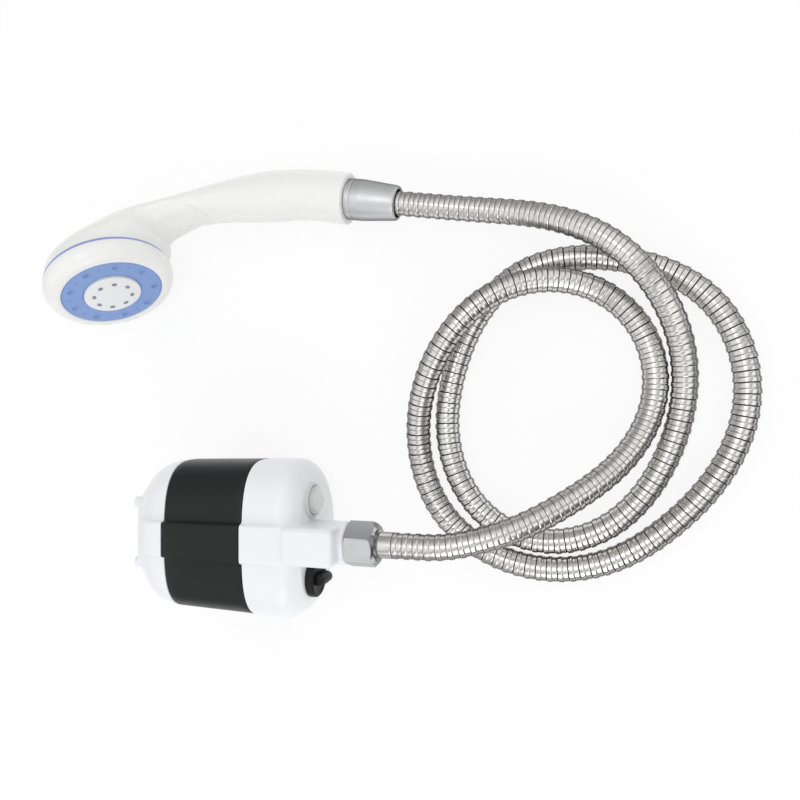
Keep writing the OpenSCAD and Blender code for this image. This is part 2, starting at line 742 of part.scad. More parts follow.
module spray_backing() {
    color("#dfe3e6") at_face() translate([0, 0, trim_t]) difference() {
        cylinder(r = seam_r - 3.4, h = backing_t);
        translate([0, 0, -over]) cylinder(r = screw_r + fit, h = backing_t + 2 * over);
        for (q = [0:nozzle_count - 1]) rotate(360 / nozzle_count * q)
            translate([nozzle_ring, 0, -over]) cylinder(r = 0.9, h = backing_t + 2 * over);
    }
}
bezel_in = spray_r + 0.15;
bezel_lip = 1.6;
module face_bezel() {
    color("white") at_face() rotate_extrude() polygon(concat(
        [[seam_r - 3.2, trim_t], [trim_r + 0.25, trim_t], [head_r - 0.25, (trim_t + bulge_h) / 2]],
        [for (w = [0:10:90]) [bezel_in + bezel_lip + (head_r - bezel_in - bezel_lip) * cos(w),
            bulge_h + (face_h - bulge_h) * sin(w)]],
        [[bezel_in, face_h - 0.4], [bezel_in, trim_t + backing_t], [seam_r - 3.2, trim_t + backing_t]]));
}
nozzle_ring = (spray_r + plate_r) / 2;
face_drop = 0.6;
module spray_ring() {
    color("#8098d4") at_face() difference() {
        translate([0, 0, trim_t + backing_t])
            cylinder(r = spray_r, h = face_h - face_drop - trim_t - backing_t);
        translate([0, 0, 0]) cylinder(r = plate_r + 0.15, h = face_h + over);
        for (q = [0:nozzle_count - 1]) rotate(360 / nozzle_count * q) translate([nozzle_ring, 0, 0]) {
            cylinder(r = 0.9, h = face_h + over);
            translate([0, 0, face_h - face_drop - 0.7]) cylinder(r1 = 1.2, r2 = 2.6, h = 1.4, $fn = 24);
        }
    }
}
plate_crown = 1;
plate_rise = 1.5;
plate_top = face_h - face_drop + plate_rise + plate_crown;
jet_ring = plate_r * 0.64;
jet_r = 1.1;
module centre_plate() {
    crown_r = (plate_r * plate_r + plate_crown * plate_crown) / (2 * plate_crown);
    color("#f2f3f3") at_face() difference() {
        rotate_extrude() polygon(concat([[0, trim_t + backing_t], [plate_r, trim_t + backing_t]],
            [for (k = [0:6]) let (r = plate_r * (1 - k / 6))
                [r, plate_top - crown_r + sqrt(crown_r * crown_r - r * r)]]));
        for (q = [0:jet_count - 1]) rotate(360 / jet_count * q)
            translate([jet_ring, 0, trim_t + backing_t - over]) cylinder(r = jet_r, h = plate_top);
        translate([0, 0, trim_t + backing_t - over])
            cylinder(r = screw_head_r + slip, h = over + screw_head_t + slip);
    }
}
module face_screw() {
    color("silver") at_face() union() {
        translate([0, 0, trim_t + backing_t]) cylinder(r = screw_head_r, h = screw_head_t);
        translate([0, 0, -pocket_depth - 3.5])
            cylinder(r = screw_r, h = pocket_depth + 3.5 + trim_t + backing_t + screw_head_t / 2);
    }
}

// Cone nut and hose end at the handset
cone_x = slip;
cone_flange = spigot_x + washer_t;
cone_tube = cone_flange + flange_t;
cone_end = cone_x + cone_len;
hose_end = cone_end - 4;
cone_lip = 1.2;
module cone_washer() {
    color("#262626") at_handset() tube(spigot_x, cone_flange, flange_r, water_r, 0, 0);
}
module handset_ferrule() {
    color("#bfc1c3") at_handset() ferrule(cone_flange, cone_tube, hose_end);
}
module cone_nut() {
    mouth = hose_d / 2 + 0.9;
    color("#c8cacc") at_handset() turned(0) polygon([[thread_r + fit, cone_x], [cone_r - 0.4, cone_x],
        [cone_r, cone_x + 0.4], [cone_r, cone_x + cone_len * 0.3], [cone_tip_r, cone_end - cone_lip],
        [cone_tip_r - 0.5, cone_end - 0.3], [cone_tip_r - cone_lip, cone_end], [mouth, cone_end],
        [mouth, cone_tube + slip], [thread_r + fit, cone_tube + slip]]);
}

// Route of the hose: from the pump, round two loops and up to the handset.
// The hose runs smoothly past these points, a little inside each bend.
hose_low = hose_d / 2 + 0.05;
stub = 15;
handset_way = [cos(handset_turn), sin(handset_turn), 0];
handset_mid = [handset_at[0], handset_at[1], handset_z];
function low(points) = [for (p = points) [p[0], p[1], hose_low]];
loops = concat(
    [[167, 9, 45], [198, 26, 30], [225, 46, 14], [242, 78, 8]],
    low([[238, 115]]),
    [[213, 142, 10], [178, 149, 19], [144, 136, 26], [120, 107, 25], [107, 75, 16]],
    low([[106, 40], [120, 9], [149, -12], [184, -19], [219, -11], [248, 10], [273, 38], [287, 71],
        [285, 107], [267, 138], [236, 155], [200, 161], [165, 155], [140, 130], [127, 98], [121, 63],
        [130, 28], [154, 3], [188, -4], [221, 10], [243, 39], [255, 74]]),
    [[255, 109, 10], [240, 142, 24], [214, 168, 27], [181, 182, 19], [150, 187, 15]]);
route = concat(
    [for (k = [-1:2]) [hose_start + k * stub, 0, outlet_z]],
    loops,
    [for (k = [2:-1:-1]) handset_mid + (hose_end + k * stub) * handset_way]);
route_last = len(route) - 1;
function unit(v) = v / norm(v);
function along(i, t) = (pow(1 - t, 3) * route[i - 1] + (3 * t * t * t - 6 * t * t + 4) * route[i]
    + (1 + 3 * t + 3 * t * t - 3 * t * t * t) * route[i + 1] + t * t * t * route[i + 2]) / 6;
function way(i, t) = unit((3 * t * t - 4 * t) * route[i] - pow(1 - t, 2) * route[i - 1]
    + (1 + 2 * t - 3 * t * t) * route[i + 1] + t * t * route[i + 2]);
function ribs_in(i) = max(1, round(norm(along(i, 1) - along(i, 0)) / rib_pitch));
rib_places = [for (i = [1:route_last - 2]) for (k = [0:ribs_in(i) - 1])
    [i, k / ribs_in(i), 1 / ribs_in(i)]];
rib_count = len(rib_places);
hose_sides = 8;
function hose_ring(i, t, r) = let (c = along(i, t), f = way(i, t))
    let (side = unit(cross(f, [0, 0, 1])), up = cross(side, f))
    [for (k = [0:hose_sides - 1]) let (w = 360 * (k + 0.5) / hose_sides)
        c + r * (cos(w) * side + sin(w) * up)];
hose_r = hose_d / 2;
hose_outer = concat(flat([for (p = rib_places)
        [hose_ring(p[0], p[1], hose_r - rib_depth), hose_ring(p[0], p[1] + p[2] / 2, hose_r)]]),
    [hose_ring(route_last - 2, 1, hose_r - rib_depth)]);
hose_inner = concat([for (k = [0:2:rib_count - 1])
        hose_ring(rib_places[k][0], rib_places[k][1], hose_bore)],
    [hose_ring(route_last - 2, 1, hose_bore)]);
// Least gap of the hose to itself, measured between ribs more than ten ribs apart
rib_mids = [for (p = rib_places) along(p[0], p[1] + p[2] / 2)];
hose_gap = min([for (a = [0:rib_count - 12]) for (b = [a + 11:rib_count - 1])
    norm(rib_mids[a] - rib_mids[b])]) - hose_d;
rib_steps = [for (k = [0:rib_count - 2]) norm(rib_mids[k + 1] - rib_mids[k])];
hose_length = sum_of(rib_steps, rib_count - 2) + rib_pitch;
function sum_of(list, k) = k < 0 ? 0 : list[k] + sum_of(list, k - 1);
module hose() {
    echo(ribs = rib_count, hose_length = hose_length, least_gap = hose_gap);
    color("#a8a49c") hollow_loft(hose_outer, hose_inner, false);
}

band_sleeve();
top_cap();
base_cap();
top_gasket();
base_gasket();
bulkhead();
volute_casing();
case_screws();
riser_pipe();
motor_can();
motor_magnets();
motor_end_cap();
front_bush();
rear_bush();
shaft_seal();
motor_shaft();
armature();
impeller();
battery_cradle();
battery_cells();
circuit_board();
switch_block();
charge_socket();
button_bezel();
power_button();
charge_plug();
intake_strainer();
outlet_washer();
hose_nut();
pump_ferrule();
hose();
handset_ferrule();
cone_nut();
cone_washer();
handset_body();
trim_ring();
face_bezel();
spray_ring();
centre_plate();
spray_backing();
face_seal();
face_screw();
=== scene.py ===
import math

import bmesh
import bpy
from mathutils import Matrix, Vector


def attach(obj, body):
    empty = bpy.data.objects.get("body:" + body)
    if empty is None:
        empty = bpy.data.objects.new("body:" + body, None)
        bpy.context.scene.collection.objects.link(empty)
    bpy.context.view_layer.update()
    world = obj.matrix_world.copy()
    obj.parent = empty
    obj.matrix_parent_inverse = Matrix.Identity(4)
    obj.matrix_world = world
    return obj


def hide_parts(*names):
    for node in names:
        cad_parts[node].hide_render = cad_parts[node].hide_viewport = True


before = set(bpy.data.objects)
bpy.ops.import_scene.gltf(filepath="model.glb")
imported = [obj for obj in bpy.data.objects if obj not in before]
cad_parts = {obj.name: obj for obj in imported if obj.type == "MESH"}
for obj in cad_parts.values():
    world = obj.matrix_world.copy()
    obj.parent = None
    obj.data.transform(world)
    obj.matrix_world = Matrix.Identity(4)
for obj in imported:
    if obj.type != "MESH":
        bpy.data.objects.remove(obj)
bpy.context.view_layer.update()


MM = 0.001
scene = bpy.context.scene
scene.view_settings.view_transform = "Standard"

# Camera, found by fitting the pump, the hose and the head to the photo
CAMERA_SENSOR, CAMERA_LENS = 36, 33.75
CAMERA_AIM = Vector((0.092, 0.0792, 0))
CAMERA_REACH, CAMERA_LEAN = 0.458, math.radians(16.7)
camera_data = bpy.data.cameras.new("photo_camera")
camera_data.sensor_width = CAMERA_SENSOR
camera_data.lens = CAMERA_LENS
camera = bpy.data.objects.new("photo_camera", camera_data)
scene.collection.objects.link(camera)
camera.location = CAMERA_AIM + CAMERA_REACH * Vector((math.sin(CAMERA_LEAN), 0, math.cos(CAMERA_LEAN)))
camera.rotation_euler = (0, CAMERA_LEAN, 0)
scene.camera = camera


# Meshes
def add_piece(name, mesh, finish, body, stands_for=(), sharp=30):
    """A finished mesh that rides on a body and stands for some CAD nodes."""
    mesh.materials.clear()
    mesh.materials.append(finish)
    for face in mesh.polygons:
        face.use_smooth = True
        face.material_index = 0
    mesh.set_sharp_from_angle(angle=math.radians(sharp))
    piece = bpy.data.objects.new(name, mesh)
    scene.collection.objects.link(piece)
    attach(piece, body)
    if stands_for:
        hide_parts(*stands_for)
    return piece


def mesh_from(name, points, faces):
    """A clean mesh: doubles merged and faces outwards."""
    mesh = bpy.data.meshes.new(name)
    mesh.from_pydata(points, [], faces)
    work = bmesh.new()
    work.from_mesh(mesh)
    bmesh.ops.remove_doubles(work, verts=work.verts, dist=1e-7)
    bmesh.ops.recalc_face_normals(work, faces=work.faces)
    work.to_mesh(mesh)
    work.free()
    return mesh


def skin(name, rings, loop=False):
    """Quads between rings of points; the ends are capped, or joined in a loop."""
    n = len(rings[0])
    points = [p for ring in rings for p in ring]
    faces = []
    turns = len(rings) if loop else len(rings) - 1
    for i in range(turns):
        a, b = i * n, (i + 1) % len(rings) * n
        for k in range(n):
            m = (k + 1) % n
            faces.append((a + k, a + m, b + m, b + k))
    if not loop:
        faces.append(tuple(range(n)))
        faces.append(tuple(range(len(points) - n, len(points))))
    return mesh_from(name, points, faces)


def round_points(sides):
    """Even angles round a circle."""
    return [2 * math.pi * k / sides for k in range(sides)]


def bow(radius, degrees):
    """The point of a circle at an angle in degrees."""
    return radius * math.cos(math.radians(degrees)), radius * math.sin(math.radians(degrees))


def turned(name, profile, place, sides=96, loop=False):
    """A turned solid: profile points are (radius, height) in mm along the place's Z axis."""
    rings = [[place @ Vector((r * math.cos(w), r * math.sin(w), h)) * MM for w in round_points(sides)]
             for r, h in profile]
    return skin(name, rings, loop)


def rounded(profile, radius, steps=4, keep=()):
    """The corners of a closed profile eased with small curves."""
    eased = []
    count = len(profile)
    for k, here in enumerate(profile):
        p = Vector(here)
        before, after = Vector(profile[k - 1]), Vector(profile[(k + 1) % count])
        if k in keep:
            eased.append(tuple(p))
            continue
        cut_a = min(radius, (before - p).length * 0.45)
        cut_b = min(radius, (after - p).length * 0.45)
        a = p + (before - p).normalized() * cut_a
        b = p + (after - p).normalized() * cut_b
        for s in range(steps + 1):
            t = s / steps
            eased.append(tuple((1 - t) ** 2 * a + 2 * t * (1 - t) * p + t * t * b))
    return eased


def scratch(name, mesh):
    """An object for work in between, which doesn't stay."""
    thing = bpy.data.objects.new(name, mesh)
    scene.collection.objects.link(thing)
    return thing


def settled(thing):
    """The mesh of a scratch object with its modifiers applied; the object goes away."""
    bpy.context.view_layer.update()
    graph = bpy.context.evaluated_depsgraph_get()
    mesh = bpy.data.meshes.new_from_object(thing.evaluated_get(graph))
    bpy.data.objects.remove(thing)
    return mesh


def combined(kind, mesh, tools):
    """A mesh cut by, joined with or kept inside other meshes."""
    thing = scratch("cut_work", mesh)
    helpers = []
    for k, tool in enumerate(tools):
        helper = scratch(f"cut_tool_{k}", tool)
        helpers.append(helper)
        step = thing.modifiers.new(f"cut_{k}", "BOOLEAN")
        step.operation = kind
        step.solver = "EXACT"
        step.object = helper
    made = settled(thing)
    for helper in helpers:
        bpy.data.objects.remove(helper)
    return made


def beveled(mesh, width, angle=30, segments=2):
    """A mesh with its sharp edges eased."""
    thing = scratch("bevel_work", mesh)
    step = thing.modifiers.new("ease", "BEVEL")
    step.width = width
    step.segments = segments
    step.limit_method = "ANGLE"
    step.angle_limit = math.radians(angle)
    return settled(thing)


def joined(name, meshes):
    """Several meshes in one, left as they are."""
    work = bmesh.new()
    for mesh in meshes:
        work.from_mesh(mesh)
    mesh = bpy.data.meshes.new(name)
    work.to_mesh(mesh)
    work.free()
    return mesh


def box_mesh(name, low, high):
    x0, y0, z0 = low
    x1, y1, z1 = high
    points = [Vector(p) * MM for p in ((x0, y0, z0), (x1, y0, z0), (x1, y1, z0), (x0, y1, z0),
                                      (x0, y0, z1), (x1, y0, z1), (x1, y1, z1), (x0, y1, z1))]
    faces = [(0, 3, 2, 1), (4, 5, 6, 7), (0, 1, 5, 4), (1, 2, 6, 5), (2, 3, 7, 6), (3, 0, 4, 7)]
    return mesh_from(name, points, faces)


def along_x(x, y=0.0, z=0.0):
    """A place whose Z axis points along +X."""
    return Matrix.Translation((x, y, z)) @ Matrix.Rotation(math.pi / 2, 4, "Y")


# Shader groups
def new_group(name, inputs, outputs):
    group = bpy.data.node_groups.new(name, "ShaderNodeTree")
    for label, kind, value in inputs:
        socket = group.interface.new_socket(name=label, in_out="INPUT", socket_type=kind)
        socket.default_value = value
    for label, kind in outputs:
        group.interface.new_socket(name=label, in_out="OUTPUT", socket_type=kind)
    return group, group.nodes.new("NodeGroupInput"), group.nodes.new("NodeGroupOutput")


def put(tree, socket, given):
    """Sets a socket to a number or a colour, or links it to another socket."""
    if isinstance(given, tuple):
        socket.default_value = (*given, 1)
    elif isinstance(given, (int, float)):
        socket.default_value = given
    else:
        tree.links.new(given, socket)


def add_noise(tree, vector, scale, detail=3.0):
    noise = tree.nodes.new("ShaderNodeTexNoise")
    for label, given in (("Vector", vector), ("Scale", scale), ("Detail", detail)):
        put(tree, noise.inputs[label], given)
    return noise.outputs["Fac"]


def add_math(tree, kind, a, b):
    node = tree.nodes.new("ShaderNodeMath")
    node.operation = kind
    put(tree, node.inputs[0], a)
    put(tree, node.inputs[1], b)
    return node.outputs[0]


def add_range(tree, value, low, high, to_low, to_high, smooth=False):
    node = tree.nodes.new("ShaderNodeMapRange")
    node.interpolation_type = "SMOOTHSTEP" if smooth else "LINEAR"
    for label, given in (("Value", value), ("From Min", low), ("From Max", high),
                         ("To Min", to_low), ("To Max", to_high)):
        put(tree, node.inputs[label], given)
    return node.outputs["Result"]


def add_mix(tree, share, a, b, kind="MIX"):
    node = tree.nodes.new("ShaderNodeMix")
    node.data_type = "RGBA"
    node.blend_type = kind
    for place, given in ((0, share), (6, a), (7, b)):
        put(tree, node.inputs[place], given)
    return node.outputs[2]


def add_bump(tree, height, strength, distance):
    node = tree.nodes.new("ShaderNodeBump")
    for label, given in (("Height", height), ("Strength", strength), ("Distance", distance)):
        put(tree, node.inputs[label], given)
    return node.outputs["Normal"]


def make_moulded_skin():
    """Moulded plastic: faint cloudiness, uneven gloss and a fine grain."""
    group, inward, out = new_group("moulded_skin", [
        ("Color", "NodeSocketColor", (0.8, 0.8, 0.8, 1)), ("Shade", "NodeSocketColor", (0.7, 0.7, 0.7, 1)),
        ("Gloss", "NodeSocketFloat", 0.35), ("Grain Scale", "NodeSocketFloat", 900.0),
        ("Grain", "NodeSocketFloat", 0.05)],
        [("Color", "NodeSocketColor"), ("Roughness", "NodeSocketFloat"), ("Normal", "NodeSocketVector")])
    place = group.nodes.new("ShaderNodeTexCoord").outputs["Object"]
    cloud = add_noise(group, place, 22.0, 1.0)
    share = add_range(group, cloud, 0.2, 0.8, 0.0, 1.0)
    tint = add_mix(group, share, inward.outputs["Color"], inward.outputs["Shade"])
    group.links.new(tint, out.inputs["Color"])
    fine = add_noise(group, place, inward.outputs["Grain Scale"], 2.0)
    patch = add_noise(group, place, 75.0)
    wander = add_range(group, patch, 0.3, 0.7, -0.025, 0.03)
    group.links.new(add_math(group, "ADD", inward.outputs["Gloss"], wander), out.inputs["Roughness"])
    group.links.new(add_bump(group, fine, inward.outputs["Grain"], 0.0004), out.inputs["Normal"])
    return group


def make_drawn_metal():
    """Plated or drawn metal: hazy patches and faint fine scratches."""
    group, inward, out = new_group("drawn_metal", [
        ("Color", "NodeSocketColor", (0.7, 0.7, 0.7, 1)), ("Shade", "NodeSocketColor", (0.5, 0.5, 0.5, 1)),
        ("Gloss", "NodeSocketFloat", 0.12), ("Scratch", "NodeSocketFloat", 0.03)],
        [("Color", "NodeSocketColor"), ("Roughness", "NodeSocketFloat"), ("Normal", "NodeSocketVector")])
    place = group.nodes.new("ShaderNodeTexCoord").outputs["Object"]
    haze = add_noise(group, place, 110.0, 4.0)
    share = add_range(group, haze, 0.4, 0.75, 0.0, 1.0, True)
    tint = add_mix(group, share, inward.outputs["Color"], inward.outputs["Shade"])
    group.links.new(tint, out.inputs["Color"])
    stretch = group.nodes.new("ShaderNodeMapping")
    stretch.inputs["Scale"].default_value = (160.0, 1800.0, 1800.0)
    group.links.new(place, stretch.inputs["Vector"])
    lines = add_noise(group, stretch.outputs["Vector"], 1.0, 2.0)
    wander = add_range(group, haze, 0.3, 0.7, -0.03, 0.06)
    group.links.new(add_math(group, "ADD", inward.outputs["Gloss"], wander), out.inputs["Roughness"])
    group.links.new(add_bump(group, lines, inward.outputs["Scratch"], 0.0002), out.inputs["Normal"])
    return group


moulded_skin = make_moulded_skin()
drawn_metal = make_drawn_metal()


def start_material(name):
    material = bpy.data.materials.new(name)
    material.use_nodes = True
    return material, material.node_tree, material.node_tree.nodes["Principled BSDF"]


def use_group(tree, shader, group, values):
    """A shader group in a material, with its gloss and grain led to the shader; gives its outputs."""
    node = tree.nodes.new("ShaderNodeGroup")
    node.node_tree = group
    for label, value in values.items():
        put(tree, node.inputs[label], value)
    for label in ("Roughness", "Normal"):
        tree.links.new(node.outputs[label], shader.inputs[label])
    return node.outputs


def moulded(name, color, shade, gloss, grain=0.05, grain_scale=900.0, specular=0.5):
    material, tree, shader = start_material(name)
    look = use_group(tree, shader, moulded_skin, {
        "Color": color, "Shade": shade, "Gloss": gloss, "Grain": grain, "Grain Scale": grain_scale})
    tree.links.new(look["Color"], shader.inputs["Base Color"])
    shader.inputs["Specular IOR Level"].default_value = specular
    return material


# Painted shade colours: for metal sides turned from the eye, for the hose's grooves and for the button's rim.
PAINTED_SIDE_SHADE, PAINTED_GROOVE_SHADE, PAINTED_RIM_SHADE = (0.05, 0.049, 0.047), (0.055, 0.053, 0.05), (0.60, 0.61, 0.61)


def add_painted_side_shade(tree, color, start, stop, share):
    """A metal's colour with painted shade: darker where its surface turns away from the eye."""
    slant = tree.nodes.new("ShaderNodeLayerWeight")
    slant.inputs["Blend"].default_value = 0.5
    side = add_range(tree, slant.outputs["Facing"], start, stop, 0.0, share, True)
    return add_mix(tree, side, color, PAINTED_SIDE_SHADE)


def metal(name, color, shade, gloss, scratch_depth=0.03):
    material, tree, shader = start_material(name)
    look = use_group(tree, shader, drawn_metal, {
        "Color": color, "Shade": shade, "Gloss": gloss, "Scratch": scratch_depth})
    # Painted shade: the metal's colour darkens where its surface turns from the eye.
    tree.links.new(add_painted_side_shade(tree, look["Color"], 0.25, 0.75, 0.78), shader.inputs["Base Color"])
    shader.inputs["Metallic"].default_value = 1
    return material


def wound_steel(name):
    """The hose: bright bands with painted shade in the grooves, read from the tube's own attribute, and
    painted shade on the sides.
    """
    material, tree, shader = start_material(name)
    look = use_group(tree, shader, drawn_metal, {
        "Color": (0.81, 0.797, 0.768), "Shade": (0.73, 0.716, 0.688), "Gloss": 0.2, "Scratch": 0.02})
    groove = tree.nodes.new("ShaderNodeAttribute")
    groove.attribute_name = "groove"
    # Painted shade: the grooves take a near-black colour.
    color = add_mix(tree, groove.outputs["Fac"], look["Color"], PAINTED_GROOVE_SHADE)
    # Painted shade on the sides turned from the eye.
    tree.links.new(add_painted_side_shade(tree, color, 0.27, 0.6, 0.88), shader.inputs["Base Color"])
    rough = add_range(tree, groove.outputs["Fac"], 0.0, 1.0, 0.0, 0.3)
    tree.links.new(add_math(tree, "ADD", look["Roughness"], rough), shader.inputs["Roughness"])
    shader.inputs["Metallic"].default_value = 1
    return material


def milky(name):
    """The button: pale clear plastic, with painted shade darkening it towards its rim."""
    material, tree, shader = start_material(name)
    look = use_group(tree, shader, moulded_skin, {
        "Color": (0.80, 0.815, 0.81), "Shade": (0.76, 0.775, 0.77), "Gloss": 0.22, "Grain": 0.03})
    rim = tree.nodes.new("ShaderNodeAttribute")
    rim.attribute_name = "rim"
    # Painted shade: the rim mask mixes in a darker grey.
    color = add_mix(tree, rim.outputs["Fac"], look["Color"], PAINTED_RIM_SHADE)
    tree.links.new(color, shader.inputs["Base Color"])
    shader.inputs["Transmission Weight"].default_value = 0.08
    shader.inputs["Coat Weight"].default_value = 0.25
    return material


white_shell = moulded("white_shell", (0.845, 0.85, 0.88), (0.835, 0.84, 0.872), 0.30, 0.01)
dark_band = moulded("dark_band", (0.016, 0.0172, 0.0172), (0.019, 0.0202, 0.0202), 0.36, 0.10, 1400.0, 0.2)
white_handset = moulded("white_handset", (0.86, 0.86, 0.85), (0.85, 0.85, 0.84), 0.27, 0.01)
white_plate = moulded("white_plate", (0.82, 0.825, 0.83), (0.80, 0.807, 0.815), 0.32, 0.01)
blue_rubber = moulded("blue_rubber", (0.225, 0.35, 0.67), (0.21, 0.335, 0.65), 0.42, 0.06)
lavender = moulded("lavender_trim", (0.28, 0.33, 0.64), (0.26, 0.31, 0.62), 0.40, 0.02)
black_rubber = moulded("black_rubber", (0.009, 0.009, 0.01), (0.013, 0.013, 0.014), 0.48, 0.10, 1200.0, 0.25)
seal_black = moulded("seal_black", (0.016, 0.016, 0.016), (0.024, 0.024, 0.024), 0.6, 0.1, 1200.0)
slot_grey = moulded("slot_grey", (0.25, 0.28, 0.36), (0.21, 0.24, 0.32), 0.5, 0.05)
inner_grey = moulded("inner_grey", (0.62, 0.63, 0.64), (0.56, 0.57, 0.585), 0.45, 0.06)
cradle_black = moulded("cradle_black", (0.03, 0.032, 0.036), (0.04, 0.042, 0.046), 0.5, 0.1)
impeller_blue = moulded("impeller_blue", (0.05, 0.16, 0.42), (0.04, 0.13, 0.36), 0.4, 0.05)
cell_wrap = moulded("cell_wrap", (0.06, 0.30, 0.13), (0.05, 0.26, 0.11), 0.3, 0.02)
board_green = moulded("board_green", (0.02, 0.15, 0.06), (0.015, 0.11, 0.045), 0.35, 0.05, 500.0)
magnet_dark = moulded("magnet_dark", (0.055, 0.055, 0.06), (0.075, 0.075, 0.08), 0.55, 0.1)
clear_button = milky("clear_button")
ring_milky = moulded("ring_milky", (0.67, 0.685, 0.68), (0.63, 0.645, 0.64), 0.28, 0.02)
chrome = metal("chrome", (0.67, 0.69, 0.70), (0.62, 0.64, 0.65), 0.16)
satin_chrome = metal("satin_chrome", (0.73, 0.745, 0.75), (0.69, 0.705, 0.71), 0.42)
ferrule_steel = metal("ferrule_steel", (0.80, 0.795, 0.775), (0.74, 0.735, 0.715), 0.2)
motor_steel = metal("motor_steel", (0.50, 0.50, 0.51), (0.42, 0.42, 0.43), 0.3, 0.06)
screw_steel = metal("screw_steel", (0.60, 0.60, 0.60), (0.50, 0.50, 0.50), 0.25, 0.05)
bush_bronze = metal("bush_bronze", (0.48, 0.30, 0.12), (0.40, 0.25, 0.10), 0.35, 0.05)
copper = metal("armature_copper", (0.55, 0.26, 0.13), (0.40, 0.18, 0.09), 0.35, 0.08)
hose_steel = wound_steel("wound_steel")

# Every CAD node gets its finish, also those that a finer piece stands for
node_finish = {
    "band_sleeve": dark_band, "top_cap": white_shell, "base_cap": white_shell, "top_gasket": seal_black,
    "base_gasket": seal_black, "bulkhead": inner_grey, "volute_casing": inner_grey,
    "case_screws": screw_steel, "riser_pipe": inner_grey, "motor_can": motor_steel,
    "motor_magnets": magnet_dark, "motor_end_cap": cradle_black, "front_bush": bush_bronze,
    "rear_bush": bush_bronze, "shaft_seal": seal_black, "motor_shaft": screw_steel, "armature": copper,
    "impeller": impeller_blue, "battery_cradle": cradle_black, "battery_cells": cell_wrap,
    "circuit_board": board_green, "switch_block": cradle_black, "charge_socket": screw_steel,
    "button_bezel": white_shell, "power_button": clear_button, "charge_plug": black_rubber,
    "intake_strainer": white_shell, "outlet_washer": seal_black, "hose_nut": chrome,
    "pump_ferrule": ferrule_steel, "hose": hose_steel, "handset_ferrule": ferrule_steel,
    "cone_nut": satin_chrome, "cone_washer": seal_black, "handset_body": white_handset,
    "trim_ring": lavender, "face_bezel": white_handset, "spray_ring": blue_rubber,
    "centre_plate": white_plate, "spray_backing": inner_grey, "face_seal": seal_black,
    "face_screw": screw_steel}
for node_name, finish in node_finish.items():
    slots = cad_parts[node_name].data.materials
    slots.clear()
    slots.append(finish)


# Geometry Nodes
def new_tree(name, inputs):
    """A node tree with named inputs."""
    tree = bpy.data.node_groups.new(name, "GeometryNodeTree")
    tree.interface.new_socket(name="Geometry", in_out="INPUT", socket_type="NodeSocketGeometry")
    for label, kind in inputs:
        tree.interface.new_socket(name=label, in_out="INPUT", socket_type=kind)
    tree.interface.new_socket(name="Geometry", in_out="OUTPUT", socket_type="NodeSocketGeometry")
    return tree, tree.nodes.new("NodeGroupInput"), tree.nodes.new("NodeGroupOutput")


def end_tree(tree, given, out, geometry):
    """The end that all trees share: real, smooth and painted."""
    smooth = tree.nodes.new("GeometryNodeSetShadeSmooth")
    real = tree.nodes.new("GeometryNodeRealizeInstances")
    paint = tree.nodes.new("GeometryNodeSetMaterial")
    tree.links.new(geometry, real.inputs["Geometry"])
    tree.links.new(real.outputs["Geometry"], smooth.inputs["Geometry"])
    tree.links.new(smooth.outputs["Geometry"], paint.inputs["Geometry"])
    tree.links.new(given.outputs["Material"], paint.inputs["Material"])
    tree.links.new(paint.outputs["Geometry"], out.inputs["Geometry"])


def wire(tree, given, node, pairs):
    """Leads a tree's named inputs to the sockets of a node."""
    for label, socket in pairs.items():
        tree.links.new(given.outputs[label], node.inputs[socket])


def grown(name, tree, values, mesh=None):
    """The mesh that a node tree makes from its named inputs."""
    thing = scratch(name, mesh or bpy.data.meshes.new(name))
    step = thing.modifiers.new("grow", "NODES")
    step.node_group = tree
    for item in tree.interface.items_tree:
        if item.in_out == "INPUT" and item.name in values:
            step[item.identifier] = values[item.name]
    return settled(thing)


